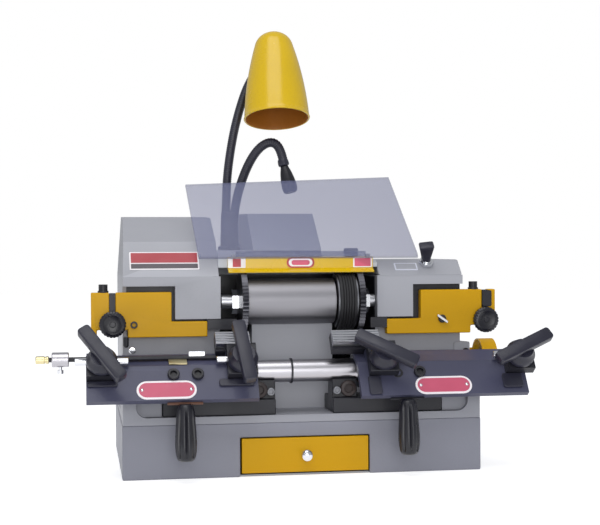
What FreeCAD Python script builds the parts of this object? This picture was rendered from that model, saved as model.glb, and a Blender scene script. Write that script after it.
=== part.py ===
import FreeCAD, Part
import Sketcher
import math
import os
import re

# Key duplicating machine: two rocking carriages on one cross shaft, two cutters on one spindle.
# Millimetres. X runs to the right, Y to the back, Z up. The origin is on the underside of the base,
# in the middle of its width and 150 behind its front face.

os.makedirs("parts", exist_ok=True)
doc = FreeCAD.newDocument("KeyDuplicator")
sheet = doc.addObject("Spreadsheet::Sheet", "Sizes")

SIZES = {
    "base_width": 400, "base_front": -150, "base_back": 110, "base_height": 59, "base_wall": 4,
    "bay_width": 144, "bay_height": 43, "floor_plate": 2, "runner_height": 1.7,
    "runner_width": 14, "runner_front": -138, "runner_back": 60, "drawer_width": 141, "drawer_low": 4,
    "drawer_high": 42, "drawer_face": 4,
    "drawer_proud": 1, "tray_width": 132, "tray_length": 190, "tray_high": 36, "tray_wall": 1.5,
    "pull_radius": 6.5, "pull_length": 15, "pull_neck": 3.5, "pull_high": 23.5,
    "bed_width": 398, "bed_floor": 67, "cheek_width": 14, "cheek_high": 92, "cheek_round": 12,
    "body_left": 197, "body_right": 193, "body_front": -60, "body_wall": 5, "body_high": 218.5,
    "face_front": -92,
    "face_low": 131, "notch_left": -88, "notch_right": 92, "notch_low": 152, "notch_back": -20,
    "pillar_left": -51,
    "pillar_right": 42, "pillar_front": -88, "cover_wall": 4,
    "panel_left": -139, "panel_right": 134, "panel_low": 171, "ledge_low": 208,
    "hood_right": -90, "hood_cant": 3.5, "hood_break_y": -70, "hood_break_z": 258, "hood_crown_y": -8,
    "hood_crown_z": 286.5, "hood_top_y": 62, "hood_top_z": 289.5,
    "deck_high": 248, "roof_low": 228, "hump_left": -49, "hump_right": 30, "hump_front": -88,
    "hump_crown_y": -30, "hump_crown_z": 291, "hump_top_y": 74, "hump_back_z": 252,
    "switchbox_left": 94, "switchbox_high": 236, "switchbox_crown_y": -84, "switchbox_cant": 20,
    "cant_room": 60,
    "rail_y": -128, "rail_z": 113.5, "rail_radius": 12.5, "rail_half": 236, "collar_x": -12.5,
    "collar_radius": 14, "collar_thick": 2, "saddle_outer": 156, "saddle_inner": 32,
    "saddle_front": -146, "saddle_back": -92, "saddle_high": 84, "post_high": 104.5,
    "post_outer_width": 16, "post_inner_width": 28, "post_half_depth": 13,
    "bush_gap": 0.05, "bush_wall": 2, "lug_radius": 20, "lug_width": 36, "lug_inner_at": 64,
    "lug_outer_at": 164, "lug_bush_gap": 0.05,
    "ridge_y": -158, "ridge_z": 124, "slope_angle": 55.2, "slope_length": 42, "slope_thick": 7,
    "top_angle": 21.8, "top_length": 27, "top_thick": 6,
    "left_plate_inner": -55, "left_plate_outer": -238, "right_plate_inner": 57,
    "right_plate_outer": 246, "left_vise_inner": -71.5, "left_vise_outer": -221.5,
    "right_vise_inner": 84, "right_vise_outer": 239, "left_grip_x": -134, "right_grip_x": 108.5,
    "vise_half": 16, "vise_block_top": 17, "vise_block_thick": 11, "jaw_top": 38.6, "jaw_short": 7.5,
    "short_block_top": 5.5, "short_jaw_thick": 3, "short_taper_from": 2, "jaw_nose_from": 20,
    "left_nose_from": -98.5, "left_nose_to": -61, "right_nose_from": 31, "right_nose_to": 84,
    "jaw_gap": 0.6, "jaw_thick": 11.4, "jaw_nose": 4.4, "jaw_bevel": 1, "jaw_heel": -18,
    "stud_at": -2,
    "stud_radius": 5, "stud_hole": 5.3, "stud_reach": 21, "stud_fit": 0.05,
    "hub_radius": 16.5, "hub_length": 17, "bar_length": 76, "bar_width": 17, "bar_thick": 14,
    "grip_radius": 11, "grip_length": 55, "grip_neck": 5, "grip_tilt": 6, "grip_drop": 3.5,
    "flute_radius": 2.2, "flute_count": 10, "flute_from": 13, "ferrule_radius": 8, "ferrule_at": 5,
    "ferrule_high": 3,
    "gauge_along": 12.5, "gauge_depth": -4.7, "gauge_radius": 2.6, "gauge_fit": 0.05,
    "gauge_outer": -291, "gauge_inner": -98, "gauge_knob_radius": 4.2, "gauge_tip": 14,
    "gauge_collar_at": 17, "gauge_collar": 18, "gauge_collar_radius": 8, "gauge_post": 12,
    "flat_finger": 20, "flat_finger_at": 52, "finger_reach": 12, "finger_thick": 2,
    "upright_finger": 18, "upright_finger_at": 30, "finger_high": 6.5,
    "spindle_y": -88, "spindle_z": 189.5, "spindle_radius": 8, "spindle_left": -86,
    "spindle_right": 91, "bearing_gap": 0.05, "bearing_radius": 16, "bearing_width": 12,
    "drum_radius": 26, "drum_left": -57, "drum_right": 42.5, "drum_bore": 12,
    "cutter_radius": 35.5, "cutter_depth": 2.2, "cutter_thick": 6.5, "cutter_teeth": 48,
    "cutter_left_x": -65, "cutter_right_x": 68.7, "nut_flats": 24, "nut_thick": 9,
    "pulley_left": 44.5, "pulley_right": 67.5, "belt_left": 46.5, "belt_right": 65.5, "belt_thick": 4,
    "belt_clear": 0.4, "spindle_pulley": 28.5, "motor_pulley": 20.5, "pulley_flange": 1.6,
    "motor_y": 4, "motor_z": 112, "motor_radius": 45, "motor_left": -115, "motor_right": 30,
    "motor_foot": 72, "shaft_radius": 7, "shaft_gap": 0.06, "shaft_end": 262, "wall_bore": 9,
    "brush_left": 246, "brush_right": 259, "brush_radius": 20, "guard_left": 243,
    "guard_right": 262, "guard_radius": 25, "guard_thick": 2, "guard_tab": 12,
    "bracket_outer": 232, "bracket_step": 143, "bracket_inner": 103, "bracket_low": 151.2,
    "bracket_high": 201.5, "tongue_high": 168.6, "bracket_thick": 12,
    "bracket_slot": 7, "slot_low": 180, "left_tracer_x": -208.5, "right_tracer_x": 219.5,
    "relief_half": 17, "relief_high": 160, "tracer_room": 0.6, "tracer_knob_z": 166.3,
    "tracer_width": 6.2, "tracer_slot": 7, "tracer_low": 153.6, "tracer_high": 174,
    "tracer_front": -103.5, "tracer_back": -88, "tracer_screw": 3, "tracer_hole": 3.06,
    "tracer_knob_radius": 13.2, "tracer_knob_thick": 7.5, "tracer_knob_gap": 0.5,
    "bar_left_end": -70, "bar_right_end": 84, "guide_low": 159, "guide_high": 170.5,
    "cap_radius": 5, "cap_high": 7, "washer_radius": 8, "washer_high": 2, "left_cap_x": -218.5,
    "right_cap_x": 207,
    "strip_left": -79, "strip_right": 88, "strip_low": 225.5, "strip_high": 240, "strip_thick": 3,
    "shield_left": -121.5, "shield_right": 140, "shield_right_top": 126, "shield_thick": 4,
    "shield_left_length": 106, "shield_right_length": 119.5, "shield_lean": 49.5, "shield_y": -99.5,
    "shield_z": 243.5, "barrel_radius": 3, "barrel_pin": 1.5, "barrel_fit": 0.06, "ear_width": 5,
    "barrel_left": -70, "barrel_right": 79,
    "lamp_x": -64, "lamp_y": 20, "lamp_foot_radius": 14, "lamp_foot_high": 5, "lamp_collar_radius": 11,
    "lamp_collar_high": 15, "neck_radius": 4.8, "spot_neck_radius": 4.5,
    "shade_x": -7, "shade_y": 34, "shade_z": 516, "shade_tilt": 14.5, "shade_length": 111,
    "shade_mouth": 39.5, "shade_waist": 29, "shade_waist_at": 36, "shade_crown": 15, "shade_thick": 1.6,
    "knuckle_radius": 5, "knuckle_length": 12, "bulb_radius": 19, "bulb_at": 74, "socket_radius": 13,
    "socket_from": 4, "socket_length": 46,
    "spot_tilt": 8, "spot_lean": 13, "spot_length": 30, "spot_mouth": 10, "spot_waist": 6,
    "toggle_x": 153, "toggle_along": 19, "toggle_skirt": 9, "toggle_waist": 5.6, "toggle_length": 30,
    "toggle_nut": 5, "toggle_flare": 8.5, "toggle_thick": 11, "toggle_gap": 0.4,
    "inlet_x": 134, "inlet_z": 104, "inlet_width": 32, "inlet_high": 26, "inlet_depth": 8,
    "inlet_rim": 4, "inlet_floor": 2,
}

for row, (alias, value) in enumerate(SIZES.items(), start=1):
    cell = "A%d" % row
    sheet.set(cell, str(value))
    sheet.setAlias(cell, alias)
doc.recompute()

PARTS = []
WORD = re.compile(r"[A-Za-z_]+")
AXES = {"x": ((0, 1, 0), 90), "y": ((1, 0, 0), -90), "z": ((0, 0, 1), 0)}


def size(alias):
    """The present value of one cell of the sheet."""
    return float(sheet.get(alias))


def formula(text):
    """The text with each alias written as a reference to the sheet."""
    return WORD.sub(lambda word: "Sizes." + word.group() if word.group() in SIZES else word.group(),
                    str(text))


def bind(item, **formulas):
    """Bind properties of an object to formulas over the sheet's aliases."""
    for name, text in formulas.items():
        item.setExpression(name.replace("__", "."), formula(text))
    return item


def place(item, at, turn=((0, 0, 1), 0)):
    """Put an object at a place given as three formulas, turned about an axis by degrees."""
    axis, degrees = turn
    item.Placement = FreeCAD.Placement(FreeCAD.Vector(), FreeCAD.Rotation(FreeCAD.Vector(*axis), degrees))
    for letter, text in zip("xyz", at):
        item.setExpression("Placement.Base." + letter, formula(text))
    return item


def block(low, high, name="Block"):
    """A box between two corners, each given as three formulas."""
    item = doc.addObject("Part::Box", name)
    spans = ["(%s) - (%s)" % (top, bottom) for bottom, top in zip(low, high)]
    bind(item, Length=spans[0], Width=spans[1], Height=spans[2])
    return place(item, low)


def rod(radius, start, length, axis="x", name="Rod"):
    """A cylinder that starts at a point and runs along a positive axis."""
    item = doc.addObject("Part::Cylinder", name)
    bind(item, Radius=radius, Height=length)
    return place(item, start, AXES[axis])


def joined(*items):
    """Several solids made into one."""
    item = doc.addObject("Part::MultiFuse", "Joined")
    item.Shapes = list(items)
    item.Refine = True
    return item


def less(base, *tools):
    """A solid with other solids taken out of it."""
    for tool in tools:
        item = doc.addObject("Part::Cut", "Cut")
        item.Base = base
        item.Tool = tool
        base = item
    return base


def gathered(*items):
    """Alike pieces that are kept as separate solids of one sub-part."""
    item = doc.addObject("Part::Compound", "Pieces")
    item.Links = list(items)
    return item


def part(label, item):
    """Name an object as a finished sub-part."""
    item.Label = label
    PARTS.append(item)
    return item


def plane(body, role):
    return next(item for item in body.Origin.OriginFeatures if item.Role == role)


def outline(body, role, points):
    """A closed sketch of straight edges, with each corner bound to two formulas."""
    sketch = body.newObject("Sketcher::SketchObject", "Outline")
    sketch.AttachmentSupport = (plane(body, role), [""])
    sketch.MapMode = "FlatFace"
    count = len(points)
    for index in range(count):
        start = FreeCAD.Vector(index, index * index, 0)
        end = FreeCAD.Vector(index + 1, (index + 1) ** 2, 0)
        sketch.addGeometry(Part.LineSegment(start, end))
    for index in range(count):
        sketch.addConstraint(Sketcher.Constraint("Coincident", index, 2, (index + 1) % count, 1))
    for index, (across, up) in enumerate(points):
        for kind, text in (("DistanceX", across), ("DistanceY", up)):
            number = sketch.addConstraint(Sketcher.Constraint(kind, -1, 1, index, 1, 1.0))
            sketch.setExpression("Constraints[%d]" % number, formula(text))
    return sketch


def prism(points, start, length):
    """A profile in the YZ plane, given as Y and Z formulas, run along X."""
    body = doc.addObject("PartDesign::Body", "Prism")
    sketch = outline(body, "YZ_Plane", points)
    pad = body.newObject("PartDesign::Pad", "Run")
    pad.Profile = sketch
    bind(pad, Length=length)
    return place(body, (start, 0, 0))


def turned(points, at, turn=((0, 0, 1), 0)):
    """A profile of radius and height formulas, spun about its own Z axis."""
    body = doc.addObject("PartDesign::Body", "Turned")
    sketch = outline(body, "XZ_Plane", points)
    spin = body.newObject("PartDesign::Revolution", "Spin")
    spin.Profile = sketch
    spin.ReferenceAxis = (sketch, ["V_Axis"])
    spin.Angle = 360
    return place(body, at, turn)


def slope_frame(item, at_x, along, depth):
    """Put an object in the frame of the sloping plate: up the slope is its Y, outward is its Z."""
    lean = "slope_angle * 1 deg"
    turn = ((1, 0, 0), size("slope_angle"))
    at_y = "ridge_y + (%s) * cos(%s) - (%s) * sin(%s)" % (along, lean, depth, lean)
    at_z = "ridge_z + (%s) * sin(%s) + (%s) * cos(%s)" % (along, lean, depth, lean)
    return place(item, (at_x, at_y, at_z), turn)


def slope_block(x_low, x_high, low, high, back, thick):
    """A box in the frame of the sloping plate, from low to high up it and from back outward."""
    item = block((0, 0, 0), ("(%s) - (%s)" % (x_high, x_low), "(%s) - (%s)" % (high, low), thick))
    return slope_frame(item, x_low, low, back)


def slope_rod(radius, at_x, along, depth, length):
    """A cylinder square to the sloping plate."""
    item = doc.addObject("Part::Cylinder", "SlopeRod")
    bind(item, Radius=radius, Height=length)
    return slope_frame(item, at_x, along, depth)


def base():
    half = "base_width / 2"
    shape = block(("-" + half, "base_front", 0), (half, "base_back", "base_height"))
    low = ("base_wall - base_width / 2", "base_front + base_wall", -1)
    high = ("base_width / 2 - base_wall", "base_back - base_wall", "base_height - base_wall")
    hollow = block(low, high)
    bay = block(("-bay_width / 2", "base_front - 1", -1),
                ("bay_width / 2", "base_front + base_wall + 1", "bay_height"))
    part("base_box", less(shape, hollow, bay))
    floor = block((low[0], low[1], 0), (high[0], high[1], "floor_plate"))
    runners = []
    for side in (-1, 1):
        inner = "%d * tray_width / 2 - %d * runner_width" % (side, (side + 1) // 2)
        edge = ("%s" % inner, "runner_front", "floor_plate")
        runners.append(block(edge, ("%s + runner_width" % inner, "runner_back",
                                    "floor_plate + runner_height")))
    part("bottom_plate", joined(floor, *runners))


def drawer():
    face_y = "base_front - drawer_proud"
    front = block(("-drawer_width / 2", face_y, "drawer_low"),
                  ("drawer_width / 2", face_y + " + drawer_face", "drawer_high"))
    back_y = face_y + " + drawer_face + tray_length"
    tray = block(("-tray_width / 2", face_y + " + drawer_face", "drawer_low"),
                 ("tray_width / 2", back_y, "tray_high"))
    hollow = block(("tray_wall - tray_width / 2", face_y + " + drawer_face + tray_wall",
                    "drawer_low + tray_wall"),
                   ("tray_width / 2 - tray_wall", back_y + " - tray_wall", "tray_high + 1"))
    part("drawer", less(joined(front, tray), hollow))
    profile = [(0, 0), ("pull_neck", 0), ("pull_neck", "pull_length * 0.45"),
               ("pull_radius", "pull_length * 0.6"),
               ("pull_radius", "pull_length * 0.9"), ("pull_radius * 0.8", "pull_length"),
               (0, "pull_length")]
    part("drawer_knob", turned(profile, (0, face_y, "pull_high"), ((1, 0, 0), 90)))


def bed():
    half = "bed_width / 2"
    depth = "body_front - base_front"
    trough = block(("-" + half, "base_front", "base_height"), (half, "body_front", "cheek_high"))
    inner = "bed_width / 2 - cheek_width"
    hollow = block(("-(%s)" % inner, "base_front - 1", "bed_floor + cheek_round"),
                   (inner, "body_front + 1", "cheek_high + 1"))
    lower = block(("-(%s) + cheek_round" % inner, "base_front - 1", "bed_floor"),
                  (inner + " - cheek_round", "body_front + 1", "cheek_high"))
    rounds = [rod("cheek_round", ("%d * (%s - cheek_round)" % (side, inner), "base_front - 1",
                                  "bed_floor + cheek_round"),
                  depth + " + 2", "y") for side in (-1, 1)]
    rear = block(("-" + half, "body_front", "base_height"), (half, "base_back", "bed_floor"))
    part("bed_tray", joined(less(trough, hollow, lower, *rounds), rear))


def body():
    outer = block(("-body_left", "body_front", "bed_floor"), ("body_right", "base_back", "body_high"))
    left_face = block(("-body_left", "face_front", "face_low"), ("notch_left", "body_front", "body_high"))
    right_face = block(("notch_right", "face_front", "face_low"), ("body_right", "body_front", "body_high"))
    pillar = block(("pillar_left", "pillar_front", "bed_floor"),
                   ("pillar_right", "body_front", "spindle_z"))
    hollow = block(("body_wall - body_left", "body_front + body_wall", "bed_floor - 1"),
                   ("body_right - body_wall", "base_back - body_wall", "body_high - body_wall"))
    notch = block(("notch_left", "body_front - 1", "notch_low"),
                  ("notch_right", "notch_back", "body_high + 1"))
    seat = rod("drum_radius", ("drum_left - 5", "spindle_y", "spindle_z"), "drum_right - drum_left + 10")
    head_room = block(("pillar_left - 1", "pillar_front - 1", "spindle_z - 10"),
                      ("pillar_right + 1", "notch_back", "body_high"))
    belt_slot = block(("pulley_left - 2", "body_front - 1", "rail_z"),
                      ("pulley_right + 2", "body_front + body_wall + 1", "notch_low + 1"))
    shaft_hole = rod("wall_bore", ("body_right - body_wall - 1", "motor_y", "motor_z"),
                     "body_wall + 2")
    proud = "face_front - bracket_thick"
    panels = []
    for low, high, edge in (("-body_left", "notch_left", "panel_left"),
                            ("notch_right", "body_right", "panel_right")):
        panels.append(block((low, proud, "ledge_low"), (high, "face_front", "body_high")))
        near, far = (edge, high) if edge == "panel_left" else (low, edge)
        panels.append(block((near, proud, "panel_low"), (far, "face_front", "ledge_low")))
    solid = joined(outer, left_face, right_face, pillar, *panels)
    part("body_casting", less(solid, hollow, notch, seat, head_room, belt_slot, shaft_hole))


def canted(solid, edge, way, inward, rise):
    """A cover whose outer side leans inward above its lower edge."""
    near = "face_front - bracket_thick - 1"
    outline = [(near, "body_high + 1"), (near, rise + " + cant_room"),
               ("base_back + 1", rise + " + cant_room"), ("base_back + 1", "body_high + 1")]
    beyond = gathered(prism(outline, "0" if way > 0 else "-cant_room", "cant_room"))
    lean = math.degrees(math.atan2(size(inward), size(rise) - size("body_high")))
    corner = "%s + %d * body_high * %.6f" % (edge, way, math.tan(math.radians(lean)))
    place(beyond, (corner, 0, "0"), ((0, 1, 0), -way * lean))
    return less(solid, beyond)


def covers():
    front = "face_front - bracket_thick"
    hood = [(front, "body_high"), ("hood_break_y", "hood_break_z"), ("hood_crown_y", "hood_crown_z"),
            ("hood_top_y", "hood_top_z"), ("base_back", "body_high")]
    inset = [(front + " + 3 * cover_wall", "body_high - 1"),
             ("hood_break_y + 1.3 * cover_wall", "hood_break_z - cover_wall"),
             ("hood_crown_y + 0.5 * cover_wall", "hood_crown_z - 1.2 * cover_wall"),
             ("hood_top_y - cover_wall", "hood_top_z - 1.2 * cover_wall"),
             ("base_back - 2 * cover_wall", "body_high - 1")]
    whole = prism(hood, "-body_left", "hood_right + body_left")
    hollow = prism(inset, "hood_cant + cover_wall - body_left",
                   "hood_right + body_left - hood_cant - 2 * cover_wall")
    part("left_hood", canted(less(whole, hollow), "-body_left", -1, "hood_cant", "hood_top_z"))
    lip = "face_front - strip_thick"
    under = [("base_back", "body_high"), ("notch_back", "body_high"), ("notch_back", "roof_low")]
    tall = [(lip, "roof_low"), (lip, "strip_high"), ("face_front + 10", "deck_high"),
            ("base_back", "deck_high")]
    short = [(lip, "roof_low"), (lip, "switchbox_high - 3"), ("face_front + 4", "switchbox_high"),
             ("base_back", "switchbox_high")]
    deck = prism(tall + under, "hood_right", "hump_right - hood_right")
    side_deck = prism(short + under, "hump_right", "switchbox_left - hump_right")
    hump = [("hump_front", "deck_high - 1"), ("hump_front + 3", "deck_high + 3"),
            ("hump_crown_y", "hump_crown_z"),
            ("hump_top_y", "hump_crown_z + 2"), ("base_back", "hump_back_z"),
            ("base_back", "deck_high - 1")]
    room = [("notch_back + cover_wall", "body_high - 1"), ("notch_back + cover_wall", "deck_high"),
            ("hump_front + 5 * cover_wall", "deck_high"),
            ("hump_crown_y + cover_wall", "hump_crown_z - cover_wall"),
            ("hump_top_y - cover_wall", "hump_crown_z - cover_wall"),
            ("base_back - 2 * cover_wall", "hump_back_z - cover_wall"),
            ("base_back - 2 * cover_wall", "body_high - 1")]
    raised = prism(hump, "hump_left", "hump_right - hump_left")
    hollow = prism(room, "hump_left + cover_wall", "hump_right - hump_left - 2 * cover_wall")
    part("centre_hump", less(joined(deck, side_deck, raised), hollow))
    box = [(front, "body_high"), ("switchbox_crown_y", "switchbox_high"),
           ("base_back", "switchbox_high"), ("base_back", "body_high")]
    inside = [(front + " + 3 * cover_wall", "body_high - 1"),
              ("switchbox_crown_y + 2 * cover_wall", "switchbox_high - cover_wall"),
              ("base_back - cover_wall", "switchbox_high - cover_wall"),
              ("base_back - cover_wall", "body_high - 1")]
    length = "body_right - switchbox_left"
    hollow = prism(inside, "switchbox_left + cover_wall", length + " - 2 * cover_wall - switchbox_cant")
    housing = less(prism(box, "switchbox_left", length), hollow)
    part("right_housing", canted(housing, "body_right", 1, "switchbox_cant", "switchbox_high"))


def rail():
    shaft = ("-rail_half", "rail_y", "rail_z")
    part("carriage_shaft", rod("rail_radius", shaft, "2 * rail_half"))
    ring = rod("collar_radius", ("collar_x - collar_thick / 2", "rail_y", "rail_z"), "collar_thick")
    part("centre_collar", less(ring, rod("rail_radius", shaft, "2 * rail_half")))
    saddles = []
    for side in ("left", "right"):
        spans = {"slab": "saddle_outer - saddle_inner", "outer": "post_outer_width",
                 "inner": "post_inner_width"}
        starts = {"slab": "saddle_inner", "outer": "saddle_outer - post_outer_width",
                  "inner": "saddle_inner"}
        if side == "left":
            starts = {"slab": "-saddle_outer", "outer": "-saddle_outer",
                      "inner": "-saddle_inner - post_inner_width"}
        pieces = []
        for name in spans:
            low = ("rail_y - post_half_depth", "saddle_high - 1")
            high = ("rail_y + post_half_depth", "post_high")
            if name == "slab":
                low = ("saddle_front", "bed_floor")
                high = ("saddle_back", "saddle_high")
            pieces.append(block((starts[name], *low), (starts[name] + " + " + spans[name], *high)))
        saddles.append(less(joined(*pieces), rod("rail_radius", shaft, "2 * rail_half")))
    part("shaft_saddles", gathered(*saddles))


def lug_starts(side):
    """The lower X of the inner and the outer bored lug of one carriage."""
    if side == "left":
        return ["-lug_inner_at - lug_width", "-lug_outer_at - lug_width"]
    return ["lug_inner_at", "lug_outer_at"]


def gauge_line(start, length, radius):
    """A rod along the key gauge's axis, which runs across the top of the left carriage."""
    item = doc.addObject("Part::Cylinder", "GaugeRod")
    bind(item, Radius=radius, Height=length)
    slope_frame(item, start, "gauge_along", "gauge_depth")
    item.Placement.Rotation = FreeCAD.Rotation(FreeCAD.Vector(0, 1, 0), 90)
    return item


def carriage(side):
    ends = (side + "_plate_outer", side + "_plate_inner")
    if side == "right":
        ends = ends[::-1]
    inner, outer = side + "_vise_inner", side + "_vise_outer"
    slope = slope_block(ends[0], ends[1], "-slope_length", 0, "-slope_thick", "slope_thick")
    top = block((0, 0, 0), ("%s - (%s)" % (ends[1], ends[0]), "top_length", "top_thick"))
    lean = "top_angle * 1 deg"
    place(top, (ends[0], "ridge_y + top_thick * sin(%s)" % lean, "ridge_z - top_thick * cos(%s)" % lean),
          ((1, 0, 0), size("top_angle")))
    lugs = [rod("lug_radius", (start, "rail_y", "rail_z"), "lug_width") for start in lug_starts(side)]
    blocks = [slope_block(at + " - vise_half", at + " + vise_half", 0, high,
                          "-vise_block_thick", "vise_block_thick")
              for at, high in ((inner, "vise_block_top"), (outer, "short_block_top"))]
    bore = rod("rail_radius + bush_gap + bush_wall + lug_bush_gap",
               ("-rail_half - 30", "rail_y", "rail_z"),
               "2 * rail_half + 60")
    holes = [slope_rod("stud_hole", at, "stud_at", "-stud_reach", "stud_reach + 1")
             for at in (inner, outer)]
    short_from = outer + " - vise_half"
    if side == "left":
        post_from, short_from = short_from, short_from + " + gauge_post"
        blocks.append(slope_block(post_from, short_from, 0, "vise_block_top", "-vise_block_thick",
                                  "vise_block_thick"))
        holes.append(gauge_line("gauge_outer", "gauge_inner - gauge_outer", "gauge_radius + gauge_fit"))
    part("carriage_" + side, less(joined(slope, top, *lugs, *blocks), bore, *holes))
    tall_jaw = slope_block(side + "_nose_from", side + "_nose_to", "vise_block_top", "jaw_top",
                           "-vise_block_thick", "vise_block_thick")
    short_jaw = slope_block(short_from, outer + " + vise_half", "short_block_top", "jaw_short",
                            "-short_jaw_thick", "short_jaw_thick")
    part("fixed_jaws_" + side, gathered(tall_jaw, short_jaw))
    bushes = []
    for start in lug_starts(side):
        tube = rod("rail_radius + bush_gap + bush_wall", (start, "rail_y", "rail_z"), "lug_width")
        bushes.append(less(tube, rod("rail_radius + bush_gap", (start, "rail_y", "rail_z"), "lug_width")))
    part("carriage_bushes_" + side, gathered(*bushes))


def vise(name, at, bar_angle, nose):
    """A sliding jaw with its T-shaped clamping knob; an inner jaw carries a long nose."""
    outer = "jaw_gap + jaw_thick"
    shoulder = "%s - jaw_bevel" % outer
    if nose:
        heel = [("jaw_heel", "jaw_gap"), ("jaw_nose_from + 1", "jaw_gap"), ("jaw_nose_from + 1", shoulder),
                ("jaw_nose_from - 2", outer), ("jaw_heel", outer)]
    else:
        heel = [("jaw_heel", "jaw_gap"), ("jaw_short", "jaw_gap"), ("jaw_short", "jaw_gap + jaw_nose"),
                ("short_taper_from", outer), ("jaw_heel", outer)]
    jaw = slope_frame(prism(heel, "0", "2 * vise_half"), at + " - vise_half", "0", "0")
    if nose:
        tip = [("jaw_nose_from", "jaw_gap"), ("jaw_top", "jaw_gap"), ("jaw_top", "jaw_gap + jaw_nose"),
               ("jaw_nose_from", shoulder)]
        arm = prism(tip, "0", "%s_nose_to - %s_nose_from" % (nose, nose))
        jaw = joined(jaw, slope_frame(arm, nose + "_nose_from", "0", "0"))
    part("moving_jaw_" + name, less(jaw,
                                    slope_rod("stud_radius + stud_fit", at, "stud_at", "-1",
                                              outer + " + 2")))
    spin = [(0, "-stud_reach"), ("stud_radius", "-stud_reach"), ("stud_radius", "0.2"),
            ("hub_radius - 2", "0.2"),
            ("hub_radius", "2.2"), ("hub_radius", "hub_length - 3"), ("hub_radius - 3", "hub_length"),
            (0, "hub_length")]
    hub = turned(spin, (0, 0, 0))
    run = "bar_length / 2 - bar_width / 2"
    low = "hub_length - 0.4 * bar_thick"
    middle = block(("-(%s)" % run, "-bar_width / 2", low), (run, "bar_width / 2", low + " + bar_thick"))
    ends = [rod("bar_width / 2", ("%d * (%s)" % (end, run), 0, low), "bar_thick", "z") for end in (-1, 1)]
    knob = joined(hub, middle, *ends)
    slope_frame(knob, at, "stud_at", outer)
    tilt = FreeCAD.Rotation(FreeCAD.Vector(1, 0, 0), size("slope_angle"))
    knob.Placement.Rotation = tilt.multiply(FreeCAD.Rotation(FreeCAD.Vector(0, 0, 1), bar_angle))
    part("t_knob_" + name, knob)


def handle(side):
    at = side + "_grip_x"
    foot = slope_block(at + " - 1.5 * grip_radius", at + " + 1.5 * grip_radius",
                       "-slope_length - grip_drop",
                       "-slope_length", "-slope_thick", "slope_thick")
    spin = [(0, 0), ("grip_neck", 0), ("grip_neck", "ferrule_at"), ("ferrule_radius", "ferrule_at"),
            ("ferrule_radius", "ferrule_at + ferrule_high"),
            ("grip_radius - 2", "ferrule_at + ferrule_high"),
            ("grip_radius", "ferrule_at + 2 * ferrule_high"), ("grip_radius - 1", "grip_length * 0.75"),
            ("grip_radius - 3", "grip_length"), ("grip_radius - 5", "grip_length + 2"),
            (0, "grip_length + 2")]
    grip = turned(spin, (0, 0, 0))
    flutes = []
    count = int(size("flute_count"))
    for index in range(count):
        turn = "%d * 360 deg / flute_count" % index
        at_x = "(grip_radius + 0.6) * cos(%s)" % turn
        at_y = "(grip_radius + 0.6) * sin(%s)" % turn
        flutes.append(rod("flute_radius", (at_x, at_y, "flute_from"), "grip_length", "z"))
    fluted = less(grip, joined(*flutes))
    slope_frame(fluted, at, "-slope_length - 0.6 * grip_drop", "-slope_thick / 2")
    fluted.Placement.Rotation = FreeCAD.Rotation(FreeCAD.Vector(1, 0, 0), 180 - size("grip_tilt"))
    part("handle_" + side, joined(foot, fluted))


def gauge():
    stem = gauge_line("gauge_outer", "gauge_inner - gauge_outer", "gauge_radius")
    tip = gauge_line("gauge_outer", "gauge_tip", "gauge_knob_radius")
    collar = gauge_line("gauge_outer + gauge_collar_at", "gauge_collar", "gauge_collar_radius")
    flat = gathered(block((0, "-finger_reach", "-gauge_radius"),
                          ("flat_finger", 1, "finger_thick - gauge_radius")))
    slope_frame(flat, "gauge_inner - flat_finger_at", "gauge_along", "gauge_depth")
    flat.Placement.Rotation = FreeCAD.Rotation(FreeCAD.Vector(1, 0, 0), size("top_angle"))
    upright = gathered(block((0, "-finger_thick", 0), ("upright_finger", "finger_thick", "finger_high")))
    slope_frame(upright, "gauge_inner - upright_finger_at", "gauge_along", "gauge_depth")
    upright.Placement.Rotation = FreeCAD.Rotation()
    part("key_gauge", joined(stem, tip, collar, flat, upright))


def spindle_line(radius, start, length):
    """A cylinder on the cutter spindle's axis."""
    return rod(radius, (start, "spindle_y", "spindle_z"), length)


def toothed_disc(start):
    """A cutter: a disc with pointed teeth all round and a bore for the spindle."""
    count = int(size("cutter_teeth"))
    corners = []
    for index in range(2 * count):
        reach = size("cutter_radius") - size("cutter_depth") * (index % 2)
        turn = math.pi * index / count
        corners.append(FreeCAD.Vector(0, reach * math.cos(turn), reach * math.sin(turn)))
    face = Part.Face(Part.makePolygon(corners + corners[:1]))
    disc = face.extrude(FreeCAD.Vector(size("cutter_thick"), 0, 0))
    bore = Part.makeCylinder(size("spindle_radius"), size("cutter_thick"), FreeCAD.Vector(),
                             FreeCAD.Vector(1, 0, 0))
    item = doc.addObject("Part::Feature", "Cutter")
    item.Shape = disc.cut(bore)
    return place(item, (start, "spindle_y", "spindle_z"))


def hex_nut(start):
    item = doc.addObject("Part::Prism", "Nut")
    item.Polygon = 6
    bind(item, Circumradius="nut_flats / sqrt(3)", Height="nut_thick")
    place(item, (start, "spindle_y", "spindle_z"), AXES["x"])
    return less(item, spindle_line("spindle_radius", start, "nut_thick"))


def pulley(radius, at_y, at_z, bore):
    """A flanged belt pulley."""
    start = ("pulley_left", at_y, at_z)
    core = rod(radius, start, "pulley_right - pulley_left")
    near = rod(radius + " + 0.6 * belt_thick", start, "pulley_flange")
    far = rod(radius + " + 0.6 * belt_thick", ("pulley_right - pulley_flange", at_y, at_z),
              "pulley_flange")
    return less(joined(core, near, far), rod(bore, start, "pulley_right - pulley_left"))


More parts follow.
